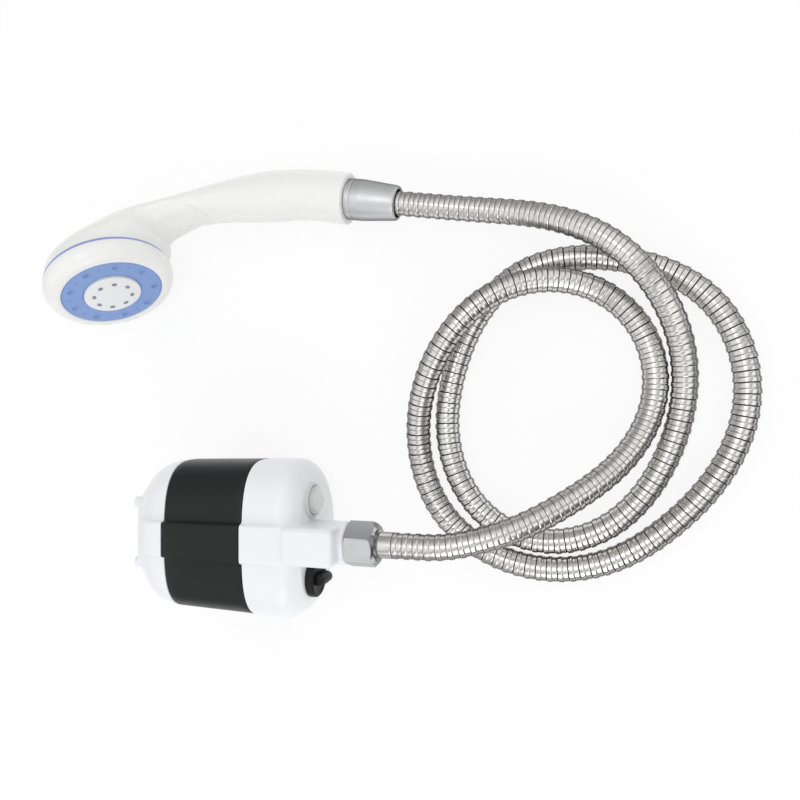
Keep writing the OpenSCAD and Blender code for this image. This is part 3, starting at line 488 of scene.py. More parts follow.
def make_ribbed_tube():
    """A wound tube along a line: each turn has a high band and a low one, with a groove before each."""
    tree, given, out = new_tree("ribbed_tube", [
        ("Ribs", "NodeSocketInt"), ("Steps", "NodeSocketInt"), ("Sides", "NodeSocketInt"),
        ("Radius", "NodeSocketFloat"), ("Groove", "NodeSocketFloat"), ("Low", "NodeSocketFloat"),
        ("Crown", "NodeSocketFloat"), ("Material", "NodeSocketMaterial")])
    nodes, links = tree.nodes, tree.links
    line = nodes.new("GeometryNodeMeshToCurve")
    links.new(given.outputs["Geometry"], line.inputs["Mesh"])
    dense = nodes.new("GeometryNodeResampleCurve")
    links.new(line.outputs["Curve"], dense.inputs["Curve"])
    count = add_math(tree, "MULTIPLY", given.outputs["Ribs"], given.outputs["Steps"])
    links.new(add_math(tree, "ADD", count, 1), dense.inputs["Count"])
    along = nodes.new("GeometryNodeSplineParameter").outputs["Factor"]
    turn = add_math(tree, "MULTIPLY", along, given.outputs["Ribs"])
    part = add_math(tree, "FRACT", add_math(tree, "ADD", turn, 0.0001), 0)
    deep = add_range(tree, add_math(tree, "PINGPONG", part, 0.5), 0.01, 0.06, 1.0, 0.0, True)
    halfway = add_math(tree, "ABSOLUTE", add_math(tree, "SUBTRACT", part, 0.5), 0)
    second = add_math(tree, "MULTIPLY", add_range(tree, halfway, 0.01, 0.05, 1.0, 0.0, True), 0.5)
    groove = add_math(tree, "MAXIMUM", deep, second)
    low = add_range(tree, part, 0.45, 0.55, 0.0, 1.0)
    band = add_math(tree, "SUBTRACT", add_math(tree, "PINGPONG", part, 0.25), 0.125)
    band = add_math(tree, "MULTIPLY", band, 8.0)
    crown = add_math(tree, "MULTIPLY", add_math(tree, "SUBTRACT", 1.0, band), 0.5)
    radius = given.outputs["Radius"]
    for share, depth in ((groove, "Groove"), (low, "Low"), (crown, "Crown")):
        radius = add_math(tree, "SUBTRACT", radius, add_math(tree, "MULTIPLY", share, given.outputs[depth]))
    marked = nodes.new("GeometryNodeStoreNamedAttribute")
    marked.inputs["Name"].default_value = "groove"
    links.new(dense.outputs["Curve"], marked.inputs["Geometry"])
    links.new(groove, marked.inputs["Value"])
    circle = nodes.new("GeometryNodeCurvePrimitiveCircle")
    circle.inputs["Radius"].default_value = 1.0
    links.new(given.outputs["Sides"], circle.inputs["Resolution"])
    tube = nodes.new("GeometryNodeCurveToMesh")
    tube.inputs["Fill Caps"].default_value = True
    links.new(marked.outputs["Geometry"], tube.inputs["Curve"])
    links.new(circle.outputs["Curve"], tube.inputs["Profile Curve"])
    links.new(radius, tube.inputs["Scale"])
    end_tree(tree, given, out, tube.outputs["Mesh"])
    return tree


def make_ring_of_studs():
    """Small studs in a ring, such as spray nozzles and slots: each tapers and may be stretched."""
    tree, given, out = new_tree("ring_of_studs", [
        ("Count", "NodeSocketInt"), ("Ring", "NodeSocketFloat"), ("Foot", "NodeSocketFloat"),
        ("Tip", "NodeSocketFloat"), ("Height", "NodeSocketFloat"), ("Stretch", "NodeSocketVector"),
        ("Sides", "NodeSocketInt"), ("Turn", "NodeSocketFloat"), ("Material", "NodeSocketMaterial")])
    nodes, links = tree.nodes, tree.links
    ring = nodes.new("GeometryNodeMeshCircle")
    wire(tree, given, ring, {"Count": "Vertices", "Ring": "Radius"})
    stud = nodes.new("GeometryNodeMeshCone")
    wire(tree, given, stud, {
        "Sides": "Vertices", "Tip": "Radius Top", "Foot": "Radius Bottom", "Height": "Depth"})
    index = nodes.new("GeometryNodeInputIndex").outputs["Index"]
    angle = add_math(tree, "DIVIDE", add_math(tree, "MULTIPLY", index, 2 * math.pi), given.outputs["Count"])
    angle = add_math(tree, "ADD", angle, given.outputs["Turn"])
    spin = nodes.new("ShaderNodeCombineXYZ")
    links.new(angle, spin.inputs["Z"])
    turn = nodes.new("FunctionNodeEulerToRotation")
    links.new(spin.outputs["Vector"], turn.inputs["Euler"])
    spread = nodes.new("GeometryNodeInstanceOnPoints")
    links.new(ring.outputs["Mesh"], spread.inputs["Points"])
    links.new(stud.outputs["Mesh"], spread.inputs["Instance"])
    links.new(turn.outputs["Rotation"], spread.inputs["Rotation"])
    links.new(given.outputs["Stretch"], spread.inputs["Scale"])
    end_tree(tree, given, out, spread.outputs["Instances"])
    return tree


def make_row_of_bars():
    """Equal bars in a row, such as grip ribs."""
    tree, given, out = new_tree("row_of_bars", [
        ("Count", "NodeSocketInt"), ("Start", "NodeSocketVector"), ("Step", "NodeSocketVector"),
        ("Size", "NodeSocketVector"), ("Material", "NodeSocketMaterial")])
    nodes, links = tree.nodes, tree.links
    row = nodes.new("GeometryNodeMeshLine")
    wire(tree, given, row, {"Count": "Count", "Start": "Start Location", "Step": "Offset"})
    bar = nodes.new("GeometryNodeMeshCube")
    links.new(given.outputs["Size"], bar.inputs["Size"])
    spread = nodes.new("GeometryNodeInstanceOnPoints")
    links.new(row.outputs["Mesh"], spread.inputs["Points"])
    links.new(bar.outputs["Mesh"], spread.inputs["Instance"])
    end_tree(tree, given, out, spread.outputs["Instances"])
    return tree


# Handset: its sizes and how it lies, which the hose's far end follows (all in mm)
HEAD_R, SEAM_R, TRIM_R, HANDLE_R, GRIP_R, FACE_H = 39.25, 37.9, 38.6, 15.25, 13.75, 13.5
HEAD_X, HEAD_Y, HEAD_TILT = -146, -70, math.radians(35.5)
HANDSET_TURN = math.radians(-9)
handle_low = HANDLE_R + 0.1
head_arm = 4 * math.cos(HEAD_TILT) - HEAD_Y
arms = head_arm ** 2 + (HEAD_R * math.cos(HEAD_TILT)) ** 2
roll_part = handle_low * head_arm
roll_root = math.sqrt(roll_part ** 2 + arms * (HEAD_R ** 2 - handle_low ** 2))
HANDSET_ROLL = -math.asin((roll_root - roll_part) / arms)
HANDSET_AT = Vector((65, 200, 0.1 + handle_low))

# Hose, along the same points as in the part's source
OUTLET_Z, HOSE_START, HOSE_END, HOSE_D, STUB = 49, 103.2, 27.2, 14.5, 15
LOW = HOSE_D / 2 + 0.05
ROUTE_STEPS, RIB_PITCH, RIB_STEPS, HOSE_SIDES = 24, 6.0, 16, 24
handset_way = Vector((math.cos(HANDSET_TURN), math.sin(HANDSET_TURN), 0))
rise_to_floor = [(167, 9, 45), (198, 26, 30), (225, 46, 14), (242, 78, 8), (238, 115, LOW), (213, 142, 10),
                 (178, 149, 19), (144, 136, 26), (120, 107, 25), (107, 75, 16)]
floor_loops = [(106, 40), (120, 9), (149, -12), (184, -19), (219, -11), (248, 10), (273, 38), (287, 71),
               (285, 107), (267, 138), (236, 155), (200, 161), (165, 155), (140, 130), (127, 98), (121, 63),
               (130, 28), (154, 3), (188, -4), (221, 10), (243, 39), (255, 74)]
rise_to_handset = [(255, 109, 10), (240, 142, 24), (214, 168, 27), (181, 182, 19), (150, 187, 15)]
route = [Vector((HOSE_START + k * STUB, 0, OUTLET_Z)) for k in (-1, 0, 1, 2)]
route += [Vector(p) for p in rise_to_floor]
route += [Vector((x, y, LOW)) for x, y in floor_loops]
route += [Vector(p) for p in rise_to_handset]
route += [HANDSET_AT + (HOSE_END + k * STUB) * handset_way for k in (2, 1, 0, -1)]


def route_line(points, steps):
    """A smooth line led by points, which it need not touch."""
    line = []
    for i in range(1, len(points) - 2):
        a, b, c, d = points[i - 1:i + 3]
        for k in range(steps):
            t = k / steps
            line.append(((1 - t) ** 3 * a + (3 * t ** 3 - 6 * t * t + 4) * b
                         + (1 + 3 * t + 3 * t * t - 3 * t ** 3) * c + t ** 3 * d) / 6)
    a, b, c = points[-3:]
    line.append((a + 4 * b + c) / 6)
    return line


hose_line = [p * MM for p in route_line(route, ROUTE_STEPS)]
hose_length = sum((b - a).length for a, b in zip(hose_line, hose_line[1:]))
line_mesh = bpy.data.meshes.new("hose_line")
line_mesh.from_pydata(hose_line, [(k, k + 1) for k in range(len(hose_line) - 1)], [])
rib_count = round(hose_length / MM / RIB_PITCH)
hose_mesh = grown("hose_tube", make_ribbed_tube(), {
    "Ribs": rib_count, "Steps": RIB_STEPS, "Sides": HOSE_SIDES, "Radius": HOSE_D / 2 * MM,
    "Groove": 0.45 * MM, "Low": 0.42 * MM, "Crown": 0.04 * MM, "Material": hose_steel}, line_mesh)
hose_piece = add_piece("hose_tube", hose_mesh, hose_steel, "pump", ["hose"], 60)

# Pump housing, with the same shape as the part's source and finer steps
REST_H, FRONT_H, BACK_H, BODY_W, DRAFT = 37, 31, 38.5, 88, 0.026
RIDGE_W, RIDGE_H, WALL, PORT_Y, PORT_Z = 21.5, 3.2, 2.4, 22, 43
BAND_X, BAND_END, BASE_END, TOP_END, DOME_X = -28, 21, -52, 52.5, 39.5
SPINE_END, SEAM = -46, 0.25
FRONT_POWER, BACK_POWER, DOME_POWER = 3, 2.4, 2.2


def dome(u):
    """How far the end domes shrink at a share of their depth."""
    return max(0.0, 1 - u ** DOME_POWER) ** (1 / DOME_POWER)


def dome_at(share):
    return (1 - share ** DOME_POWER) ** (1 / DOME_POWER)


BASE_DOME = 24 / dome_at(0.62)
TOP_DOME = 13 / dome_at(0.72)


def shrink(x):
    """The housing's size at x, as a share of its full size."""
    if x < BAND_X:
        return dome((BAND_X - x) / BASE_DOME)
    if x > DOME_X:
        return dome((x - DOME_X) / TOP_DOME)
    return 1.0


def front_skin(y, a, b):
    """The height of the rounded front at y."""
    return b * max(0.0, 1 - (y / a) ** FRONT_POWER) ** (1 / FRONT_POWER)


def housing_ring(x, inset=0.0, rise=RIDGE_H, at=None):
    """A closed cross-section of the housing; inset moves it inwards, at reads the size elsewhere."""
    q = x if at is None else at
    a = shrink(q) * (BODY_W / 2 + DRAFT * q) - inset
    b = shrink(q) * FRONT_H - inset
    c = shrink(q) * BACK_H - inset
    r = RIDGE_W / 2 + DRAFT / 2 * q - inset
    foot = REST_H + front_skin(r, a, b)
    half = [(k / 8 * (r - 1.4), REST_H + front_skin(k / 8 * (r - 1.4), a, b) + rise) for k in range(1, 9)]
    top = foot + rise
    half += [(r - 0.95, top - 0.03 * rise), (r - 0.6, top - 0.1 * rise), (r - 0.35, top - 0.26 * rise),
             (r - 0.2, foot + 0.5 * rise), (r - 0.05, foot + 0.2 * rise), (r + 0.2, foot + 0.06 * rise)]
    high = math.acos((r + 0.8) ** (FRONT_POWER / 2) / a ** (FRONT_POWER / 2))
    for k in range(37):
        w = high * (1 - k / 36)
        half.append((a * math.cos(w) ** (2 / FRONT_POWER),
                     REST_H + b * math.sin(max(w, 0)) ** (2 / FRONT_POWER)))
    low = min(math.asin(min(1, (REST_H - inset) / c) ** (BACK_POWER / 2)), math.radians(84))
    for k in range(1, 29):
        w = low * k / 28
        half.append((a * math.cos(w) ** (2 / BACK_POWER), REST_H - c * math.sin(w) ** (2 / BACK_POWER)))
    edge_y, edge_z = half[-1]
    half += [(edge_y - 0.5, edge_z), (edge_y * 0.5, edge_z)]
    both = half + [(-y, z) for y, z in reversed(half)]
    return [Vector((x, y, max(z, 0.0))) * MM for y, z in both]


band_start, band_stop, EASE = BAND_X + SEAM, BAND_END - SEAM, 0.45
band_length = band_stop - band_start - 2 * EASE
band_rings = [housing_ring(band_start, EASE), housing_ring(band_start + 0.15, 0.12),
              housing_ring(band_start + EASE)]
band_rings += [housing_ring(band_start + EASE + band_length * k / 12) for k in range(1, 13)]
band_rings += [housing_ring(band_stop - 0.15, 0.12), housing_ring(band_stop, EASE)]
band_rings += [housing_ring(band_stop, WALL), housing_ring(band_start, WALL)]
add_piece("pump_band", skin("pump_band", band_rings, True), dark_band, "pump",
          ["band_sleeve"], 50)

# Foot-end cap: a hollow dome with the spine's rounded end and the intake opening
base_start = BAND_X - SEAM
base_rings = [housing_ring(base_start, EASE), housing_ring(base_start - 0.15, 0.12)]
base_rings += [housing_ring(base_start - EASE + (SPINE_END - base_start + EASE) * k / 16) for k in range(17)]
for step, share in ((0.15, 0.96), (0.35, 0.8), (0.55, 0.5), (0.75, 0.2), (0.95, 0.04)):
    base_rings.append(housing_ring(SPINE_END - step, 0, RIDGE_H * share))
last_x = BASE_END + 1.6
base_rings += [housing_ring(SPINE_END - 1.2 + (last_x - SPINE_END + 1.2) * k / 8, 0, 0) for k in range(9)]
for step, inset in ((0.9, 0.15), (1.3, 0.5), (1.52, 1.0), (1.6, 1.6)):
    base_rings.append(housing_ring(last_x - step, inset, 0, last_x))
base_outer = skin("foot_cap", base_rings)
base_room = [housing_ring(base_start + 0.5, WALL, 0, base_start)]
base_room += [housing_ring(base_start + (BASE_END + WALL - base_start) * k / 10, WALL, 0) for k in range(11)]
intake = turned("intake", [(11, 0), (11, 8)], along_x(BASE_END - 2, 0, REST_H), 72)
foot_cap = combined("DIFFERENCE", base_outer, [skin("base_room", base_room), intake])
add_piece("foot_cap", foot_cap, white_shell, "pump", ["base_cap"], 40)

# Outlet-end cap: the dome, the outlet block and the neck grown together with soft corners
dome_rings = [housing_ring(BAND_END - 4, 0, RIDGE_H)]
dome_rings += [housing_ring(BAND_END - 4 + (DOME_X - BAND_END + 4) * k / 8) for k in range(1, 9)]
for k in range(1, 17):
    share = math.sin(math.pi / 2 * k / 16)
    dome_rings.append(housing_ring(DOME_X + (TOP_END - DOME_X) * share, 0, RIDGE_H * (1 - share)))
dome_mesh = skin("dome", dome_rings)
BLOCK_W, BLOCK_TOP, BLOCK_H, BLOCK_BACK, BLOCK_END = 21.1, 70.8, 34.5, 45, 75
block_low, block_high = (BLOCK_BACK, -BLOCK_W / 2, BLOCK_TOP - BLOCK_H), (BLOCK_END, BLOCK_W / 2, BLOCK_TOP)
block_mesh = beveled(box_mesh("block", block_low, block_high), 3 * MM, 30, 5)
neck_profile = [(12, 0), (12, 7.0), (11.8, 7.4), (10.4, 7.5), (10.4, 18)]
neck_mesh = turned("neck", neck_profile, along_x(70, 0, OUTLET_Z), 72)
lump = scratch("outlet_lump", joined("outlet_lump", [dome_mesh, block_mesh, neck_mesh]))
remesh = lump.modifiers.new("one_skin", "REMESH")
remesh.mode = "VOXEL"
remesh.voxel_size = 0.62 * MM
ease = lump.modifiers.new("soft", "SMOOTH")
ease.factor = 0.5
ease.iterations = 9
lump_mesh = settled(lump)
seam_x = BAND_END + SEAM
keep_block = box_mesh("keep", (seam_x, -60, -5), (120, 60, 90))
room = [housing_ring(seam_x - 1, WALL, 0, seam_x)]
room += [housing_ring(x, WALL, 0) for x in (seam_x + 0.2, 30, 35, 39.5, 42.5, 45, 47, 48.5, 50.1)]
bore = turned("bore", [(5, 0), (5, 40)], along_x(57, 0, OUTLET_Z), 48)
pocket = turned("pocket", [(6.6, 0), (6.6, 10)], along_x(48.5, -PORT_Y, PORT_Z), 48)
button_hole = turned("button_hole", [(8.23, 0), (8.23, 10)], along_x(48.5, PORT_Y, PORT_Z), 64)
outlet_cap = combined("INTERSECT", lump_mesh, [keep_block])
outlet_cap = combined("DIFFERENCE", outlet_cap, [skin("room", room), bore, pocket, button_hole])
add_piece("outlet_cap", outlet_cap, white_shell, "pump", ["top_cap"], 35)

# Button with its bezel and a raised sign
bezel = rounded([(8.23, -0.2), (10.25, -0.2), (10.25, 1.0), (9.8, 1.6), (8.5, 1.6), (8.23, 1.2)], 0.35)
bezel_mesh = turned("button_ring", bezel, along_x(TOP_END, PORT_Y, PORT_Z), 96, True)
add_piece("button_ring", bezel_mesh, ring_milky, "pump", ["button_bezel"], 50)
BUTTON_BACK, BUTTON_R, BUTTON_EASE, BUTTON_SOFT = TOP_END - 4.4, 8.15, 5.2, 3.4
button_rise = TOP_END + 6 - BUTTON_BACK
button_profile = [(0, 0), (9.3, 0), (9.35, 0.1), (9.35, 1.7), (9.3, 1.8), (8.2, 1.8), (8.15, 1.85)]
for w in range(0, 91, 5):
    c, s = bow(1, w)
    button_profile.append((BUTTON_R - BUTTON_EASE * (1 - c), button_rise - BUTTON_SOFT * (1 - s)))
button_profile += [(2.0, button_rise + 0.03), (1.0, button_rise + 0.04), (0, button_rise + 0.04)]
button_mesh = turned("button_cap", button_profile, along_x(BUTTON_BACK, PORT_Y, PORT_Z))
sign_place = along_x(TOP_END + 6.04, PORT_Y, PORT_Z) @ Matrix.Rotation(math.pi / 2, 4, "Z")
SIGN_R, SIGN_THICK, SIGN_SUNK, SIGN_FLAT = 2.5, 0.34, -0.06, Vector((0, 0, 0.7))
arc_rings = []
for k in range(33):
    out = Vector((*bow(1, 125 + 290 * k / 32), 0))
    mid = SIGN_R * out + Vector((0, 0, SIGN_SUNK))
    arc_rings.append([sign_place @ (mid + SIGN_THICK * (math.cos(v) * out + math.sin(v) * SIGN_FLAT)) * MM
                      for v in round_points(8)])
bar_rings = []
for h, r in ((1.2, 0.15), (1.3, SIGN_THICK), (3.2, SIGN_THICK), (3.3, 0.15)):
    mid, out = Vector((0, h, SIGN_SUNK)), Vector((1, 0, 0))
    bar_rings.append([sign_place @ (mid + r * (math.cos(v) * out + math.sin(v) * SIGN_FLAT)) * MM
                      for v in round_points(8)])
button_all = joined("button_cap", [button_mesh, skin("sign_arc", arc_rings), skin("sign_bar", bar_rings)])
# A mask for painted shade on the button: 0 inside 6.6 mm, 1 beyond 8 mm.
rim = button_all.attributes.new("rim", "FLOAT", "POINT")
for k, vertex in enumerate(button_all.vertices):
    off = math.hypot(vertex.co.y - PORT_Y * MM, vertex.co.z - PORT_Z * MM) / MM
    rim.data[k].value = min(1.0, max(0.0, (off - 6.6) / 1.4))
add_piece("button_cap", button_all, clear_button, "power_button", ["power_button"], 45)

# Rubber plug with its ribbed pull tab
plug_profile = rounded([(0, 0), (10.8, 0), (10.8, 3.6), (9.8, 4.6), (8.2, 4.6), (7.7, 4.1), (0, 4.1)], 0.5,
                       4, (0, 6))
plug_head = turned("plug_head", plug_profile, along_x(TOP_END + 0.2, -PORT_Y, PORT_Z), 96)
plug_skirt = turned("plug_skirt", [(6.52, -4.7), (6.52, 0.6), (5.3, 0.6), (5.3, -4.7)],
                    along_x(TOP_END, -PORT_Y, PORT_Z), 64, True)
TAB_FOOT, TAB_LONG, TAB_R, TAB_HALF = 4.4, 7.1, 3, 6.5
tab_outline = [(TAB_FOOT, -TAB_R), (TAB_LONG, -TAB_R)]
for w in range(-80, 81, 10):
    c, s = bow(TAB_R, w)
    tab_outline.append((TAB_LONG + c, s))
tab_outline += [(TAB_LONG, TAB_R), (TAB_FOOT, TAB_R)]
tab_rings = [[Vector((TOP_END + x, -PORT_Y + y, z)) * MM for x, y in tab_outline]
             for z in (PORT_Z - TAB_HALF, PORT_Z + TAB_HALF)]
tab_mesh = beveled(skin("plug_tab", tab_rings), 0.6 * MM, 40, 3)
row_of_bars = make_row_of_bars()
grip_ribs = []
for side in (-TAB_R, TAB_R):
    ribs = grown("grip_ribs", row_of_bars, {
        "Count": 5, "Start": Vector((TOP_END + 6.6, -PORT_Y + side, PORT_Z - 4.4)) * MM,
        "Step": Vector((0, 0, 2.2)) * MM, "Size": Vector((3.4, 0.8, 1.0)) * MM, "Material": black_rubber})
    grip_ribs.append(beveled(ribs, 0.25 * MM, 40, 2))
plug_all = joined("port_plug", [plug_head, plug_skirt, tab_mesh] + grip_ribs)
add_piece("port_plug", plug_all, black_rubber, "charge_plug", ["charge_plug"], 40)

# Hex nut, with chamfered ends
NUT_X, NUT_LEN, NUT_AF = 77.7, 17, 22.75
corner = NUT_AF / math.sqrt(3)
nut_place = along_x(NUT_X, 0, OUTLET_Z) @ Matrix.Rotation(math.radians(38), 4, "Z")
hex_rings = [[nut_place @ Vector((*bow(corner, 60 * k), h)) * MM for k in range(6)] for h in (0, NUT_LEN)]
round_off = turned("round_off", [(NUT_AF / 2, 0), (corner, 1.2), (corner, NUT_LEN - 2.6),
                                 (NUT_AF / 2 - 1.1, NUT_LEN)], nut_place, 144)
nut_bore = turned("nut_bore", [(10.45, 0), (10.45, 15.5), (7.4, 15.51), (7.4, 16.4), (9.1, 18.01), (9.1, 30)],
                  along_x(NUT_X - 1, 0, OUTLET_Z), 96)
nut_mesh = combined("INTERSECT", skin("hex", hex_rings), [round_off])
nut_mesh = combined("DIFFERENCE", nut_mesh, [nut_bore])
nut_mesh = beveled(nut_mesh, 0.2 * MM, 25, 2)
add_piece("outlet_nut", nut_mesh, chrome, "hose_nut", ["hose_nut"], 28)

# Smooth hose end, with a flange inside the nut
ferrule_profile = [(4.6, 90.0), (9.8, 90.0), (9.8, 92.0), (6.9, 92.0), (6.9, 95.2), (7.2, 95.6), (7.25, 96.0),
                   (7.25, 102.7), (7.2, 103.0), (7.0, 103.2), (4.6, 103.2)]
ferrule_mesh = turned("hose_end", rounded(ferrule_profile, 0.2, 3), along_x(0, 0, OUTLET_Z), 96, True)
add_piece("hose_end", ferrule_mesh, ferrule_steel, "pump", ["pump_ferrule"], 35)

# Handset
at_handset = Matrix.Translation(HANDSET_AT) @ Matrix.Rotation(HANDSET_TURN, 4, "Z")
at_handset = at_handset @ Matrix.Rotation(HANDSET_ROLL, 4, "X")
at_face = at_handset @ Matrix.Translation((HEAD_X, HEAD_Y, 0)) @ Matrix.Rotation(HEAD_TILT, 4, "Z")
at_face = at_face @ Matrix.Rotation(math.pi / 2, 4, "X")


def on_head(q, d):
    """A point beside the head: across its face and out of its back, in shares of its radius."""
    c, s = math.cos(HEAD_TILT), math.sin(HEAD_TILT)
    return (HEAD_X + SEAM_R * (q * c - d * s), HEAD_Y + SEAM_R * (q * s + d * c))


# Rows along the handset, as in the part's source: outer edge, inner edge and half thickness
body_rows = [
    ((0, HANDLE_R), (0, -HANDLE_R), HANDLE_R),
    ((-16, HANDLE_R + 0.6), (-12, 0.4 - HANDLE_R), HANDLE_R - 0.2),
    ((-35, GRIP_R + 1.2), (-29, -GRIP_R - 1.4), GRIP_R + 0.8),
    ((-54, GRIP_R - 1.2), (-46, -GRIP_R - 3.6), GRIP_R + 0.4),
    ((-72, GRIP_R - 6.6), (-63, -GRIP_R - 5.4), GRIP_R - 0.2),
    ((-90, GRIP_R - 13.8), (-79, -GRIP_R - 6.8), GRIP_R - 0.6),
    ((-106, GRIP_R - 21.8), (-92, -GRIP_R - 8.6), GRIP_R),
    ((-121, GRIP_R - 31), (-103, -GRIP_R - 12), GRIP_R + 3),
    (on_head(0.74, 0.84), on_head(1.17, 0.3), SEAM_R * 0.54),
    (on_head(0.38, 0.76), on_head(1.08, 0.15), SEAM_R * 0.7),
    (on_head(-0.08, 0.64), on_head(1.02, 0.07), SEAM_R * 0.82),
    (on_head(-0.52, 0.52), on_head(1.005, 0.03), SEAM_R * 0.9),
    (on_head(-0.89, 0.32), on_head(1, 0.012), SEAM_R * 0.95),
    (on_head(-1, 0), on_head(1, 0), SEAM_R)]
row_numbers = [(o[0], o[1], i[0], i[1], h) for o, i, h in body_rows]


def row_at(i, t):
    """A row between two given rows, on a smooth curve through all of them."""
    last = len(row_numbers) - 1
    a, b, c, d = (row_numbers[max(0, min(last, k))] for k in (i - 1, i, i + 1, i + 2))
    return [0.5 * (2 * q + (r - p) * t + (2 * p - 5 * q + 4 * r - s) * t * t
                   + (3 * q - p - 3 * r + s) * t ** 3) for p, q, r, s in zip(a, b, c, d)]


def ease_in(v, low, high):
    """0 below low, 1 above high and a smooth step between."""
    t = max(0.0, min(1.0, (v - low) / (high - low)))
    return t * t * (3 - 2 * t)


BODY_SIDES, BODY_STEPS = 112, 14
PAD_EDGE, PAD_BEND, PAD_EASE = -90, 24, 2.5


def grip_pad(x, turn):
    """How far (up to 1 mm) the grip's underside stands out, from a crescent edge towards the handle's end."""
    under = ease_in(-math.cos(turn), 0.3, 0.8)
    edge = PAD_EDGE - PAD_BEND * (1 + math.cos(turn))
    return under * ease_in(x, edge, edge + PAD_EASE) * (1 - ease_in(x, -60, -25))


def body_ring(row, inset=0.0):
    """A closed ring of the handset's skin round a row; inset draws it in."""
    ox, oy, ix, iy, half = row
    mid, arm = Vector(((ox + ix) / 2, (oy + iy) / 2)), Vector(((ox - ix) / 2, (oy - iy) / 2))
    arm = arm * (1 - inset / arm.length)
    half = half - inset
    ring = []
    for w in round_points(BODY_SIDES):
        x = mid.x + arm.x * math.cos(w)
        out = 1 + grip_pad(x, w) / arm.length
        ring.append(at_handset @ Vector((mid.x + arm.x * out * math.cos(w), mid.y + arm.y * out * math.cos(w),
                                         half * out * math.sin(w))) * MM)
    return ring


body_rings = [body_ring(row_at(0, 0), 2.6)]
for inset, x_in in ((1.4, 0.0), (0.6, 0.3), (0.2, 0.75), (0.0, 1.5)):
    body_rings.append(body_ring(row_at(0, x_in / 16), inset))
for i in range(len(body_rows) - 1):
    for k in range(BODY_STEPS):
        if i > 0 or k > 1:
            body_rings.append(body_ring(row_at(i, k / BODY_STEPS)))
body_rings.append(body_ring(row_numbers[-1]))
spigot = turned("spigot", [(10.4, -2), (10.4, 16)], at_handset @ along_x(0), 72)
handset_mesh = joined("handset_shell", [skin("handset_shell", body_rings), spigot])
add_piece("handset_shell", handset_mesh, white_handset, "handset", ["handset_body"], 50)

# Trim line, face rim and spray face
RING_IN, BULGE_R, BULGE_H, FACE_SIDES = 35, 31.75, 4, 192
trim_profile = rounded([(RING_IN, -0.1), (TRIM_R - 0.5, -0.1), (TRIM_R - 0.35, 0.1), (TRIM_R, 1.5),
                        (TRIM_R - 0.1, 1.7), (RING_IN, 1.7)], 0.15, 3)
add_piece("trim_line", turned("trim_line", trim_profile, at_face, FACE_SIDES, True), lavender, "handset",
          ["trim_ring"], 50)
rim_profile = [(RING_IN, 1.75), (TRIM_R - 0.1, 1.75), (TRIM_R + 0.12, 1.95), (TRIM_R + 0.31, 2.4),
               (TRIM_R + 0.5, 3.1)]
for w in range(0, 91, 5):
    c, s = bow(1, w)
    rim_profile.append((BULGE_R + (HEAD_R - BULGE_R) * c, BULGE_H + (FACE_H - BULGE_H) * s))
rim_profile += [(31.2, FACE_H - 0.05), (30.6, FACE_H - 0.25), (30.25, FACE_H - 0.6), (30.15, FACE_H - 1.1),
                (30.15, 3.4), (RING_IN, 3.4)]
add_piece("face_rim", turned("face_rim", rim_profile, at_face, FACE_SIDES, True), white_handset, "handset",
          ["face_bezel"], 50)

NOZZLES, NOZZLE_RING, NOZZLE_TURN = 18, 25.3, math.radians(13.5)
SLOTS, SLOT_RING, SLOT_R, SLOT_TURN = 8, 11.3, 1.3, math.radians(8.7)
SPRAY_IN, SPRAY_OUT, PLATE_R, FACE_TOP, FACE_FLOOR = 17.15, 30, 17, FACE_H - 0.6, 4.0


def polar_face(name, radii, height, sides, floor):
    """A face on a round grid whose height may dip, closed down to a floor."""
    def ring(r, level):
        return [at_face @ Vector((r * math.cos(w), r * math.sin(w), level(r, w))) * MM
                for w in round_points(sides)]

    def down(r, w):
        return floor

    rings = [ring(radii[0], down)] + [ring(r, height) for r in radii] + [ring(radii[-1], down)]
    return skin(name, rings, radii[0] > 0.01)


def put_on_face(mesh, height, turn):
    """A mesh made round the Z axis, moved to the spray face."""
    mesh.transform(Matrix.Translation(at_face.to_translation() * MM) @ at_face.to_3x3().to_4x4()
                   @ Matrix.Translation(Vector((0, 0, height)) * MM) @ Matrix.Rotation(turn, 4, "Z"))


def spray_height(r, w):
    """Raised nozzle rings, with a small radial dip between each two."""
    step = 2 * math.pi / NOZZLES
    near = round((w - NOZZLE_TURN) / step)
    off = w - NOZZLE_TURN - near * step
    out, across = r * math.cos(off) - NOZZLE_RING, r * math.sin(off)
    edge = 0.5 * (1 - ease_in(r, SPRAY_IN, 17.9)) + 0.5 * ease_in(r, 29.2, SPRAY_OUT)
    if near % 2:
        return FACE_TOP - edge - 0.5 * (1 - ease_in(math.hypot(out / 1.5, across), 0.5, 1.3))
    d = math.hypot(out, across)
    raised = 0.6 * ease_in(d, 1.2, 1.9) * (1 - ease_in(d, 2.2, 3.0))
    return FACE_TOP - edge + raised - 0.7 * (1 - ease_in(d, 0.8, 1.6))


spray_radii = [SPRAY_IN + (SPRAY_OUT - SPRAY_IN) * k / 44 for k in range(45)]
spray_mesh = polar_face("spray_face", spray_radii, spray_height, 480, FACE_FLOOR)
add_piece("spray_face", spray_mesh, blue_rubber, "handset", ["spray_ring"], 40)
ring_of_studs = make_ring_of_studs()
tips = grown("nozzle_tips", ring_of_studs, {
    "Count": NOZZLES // 2, "Ring": NOZZLE_RING * MM, "Foot": 0.9 * MM, "Tip": 0.7 * MM, "Height": 0.9 * MM,
    "Stretch": Vector((1, 1, 1)), "Sides": 20, "Turn": 0.0, "Material": slot_grey})
put_on_face(tips, FACE_TOP - 1.0, NOZZLE_TURN)
add_piece("nozzle_tips", tips, blue_rubber, "handset", (), 40)


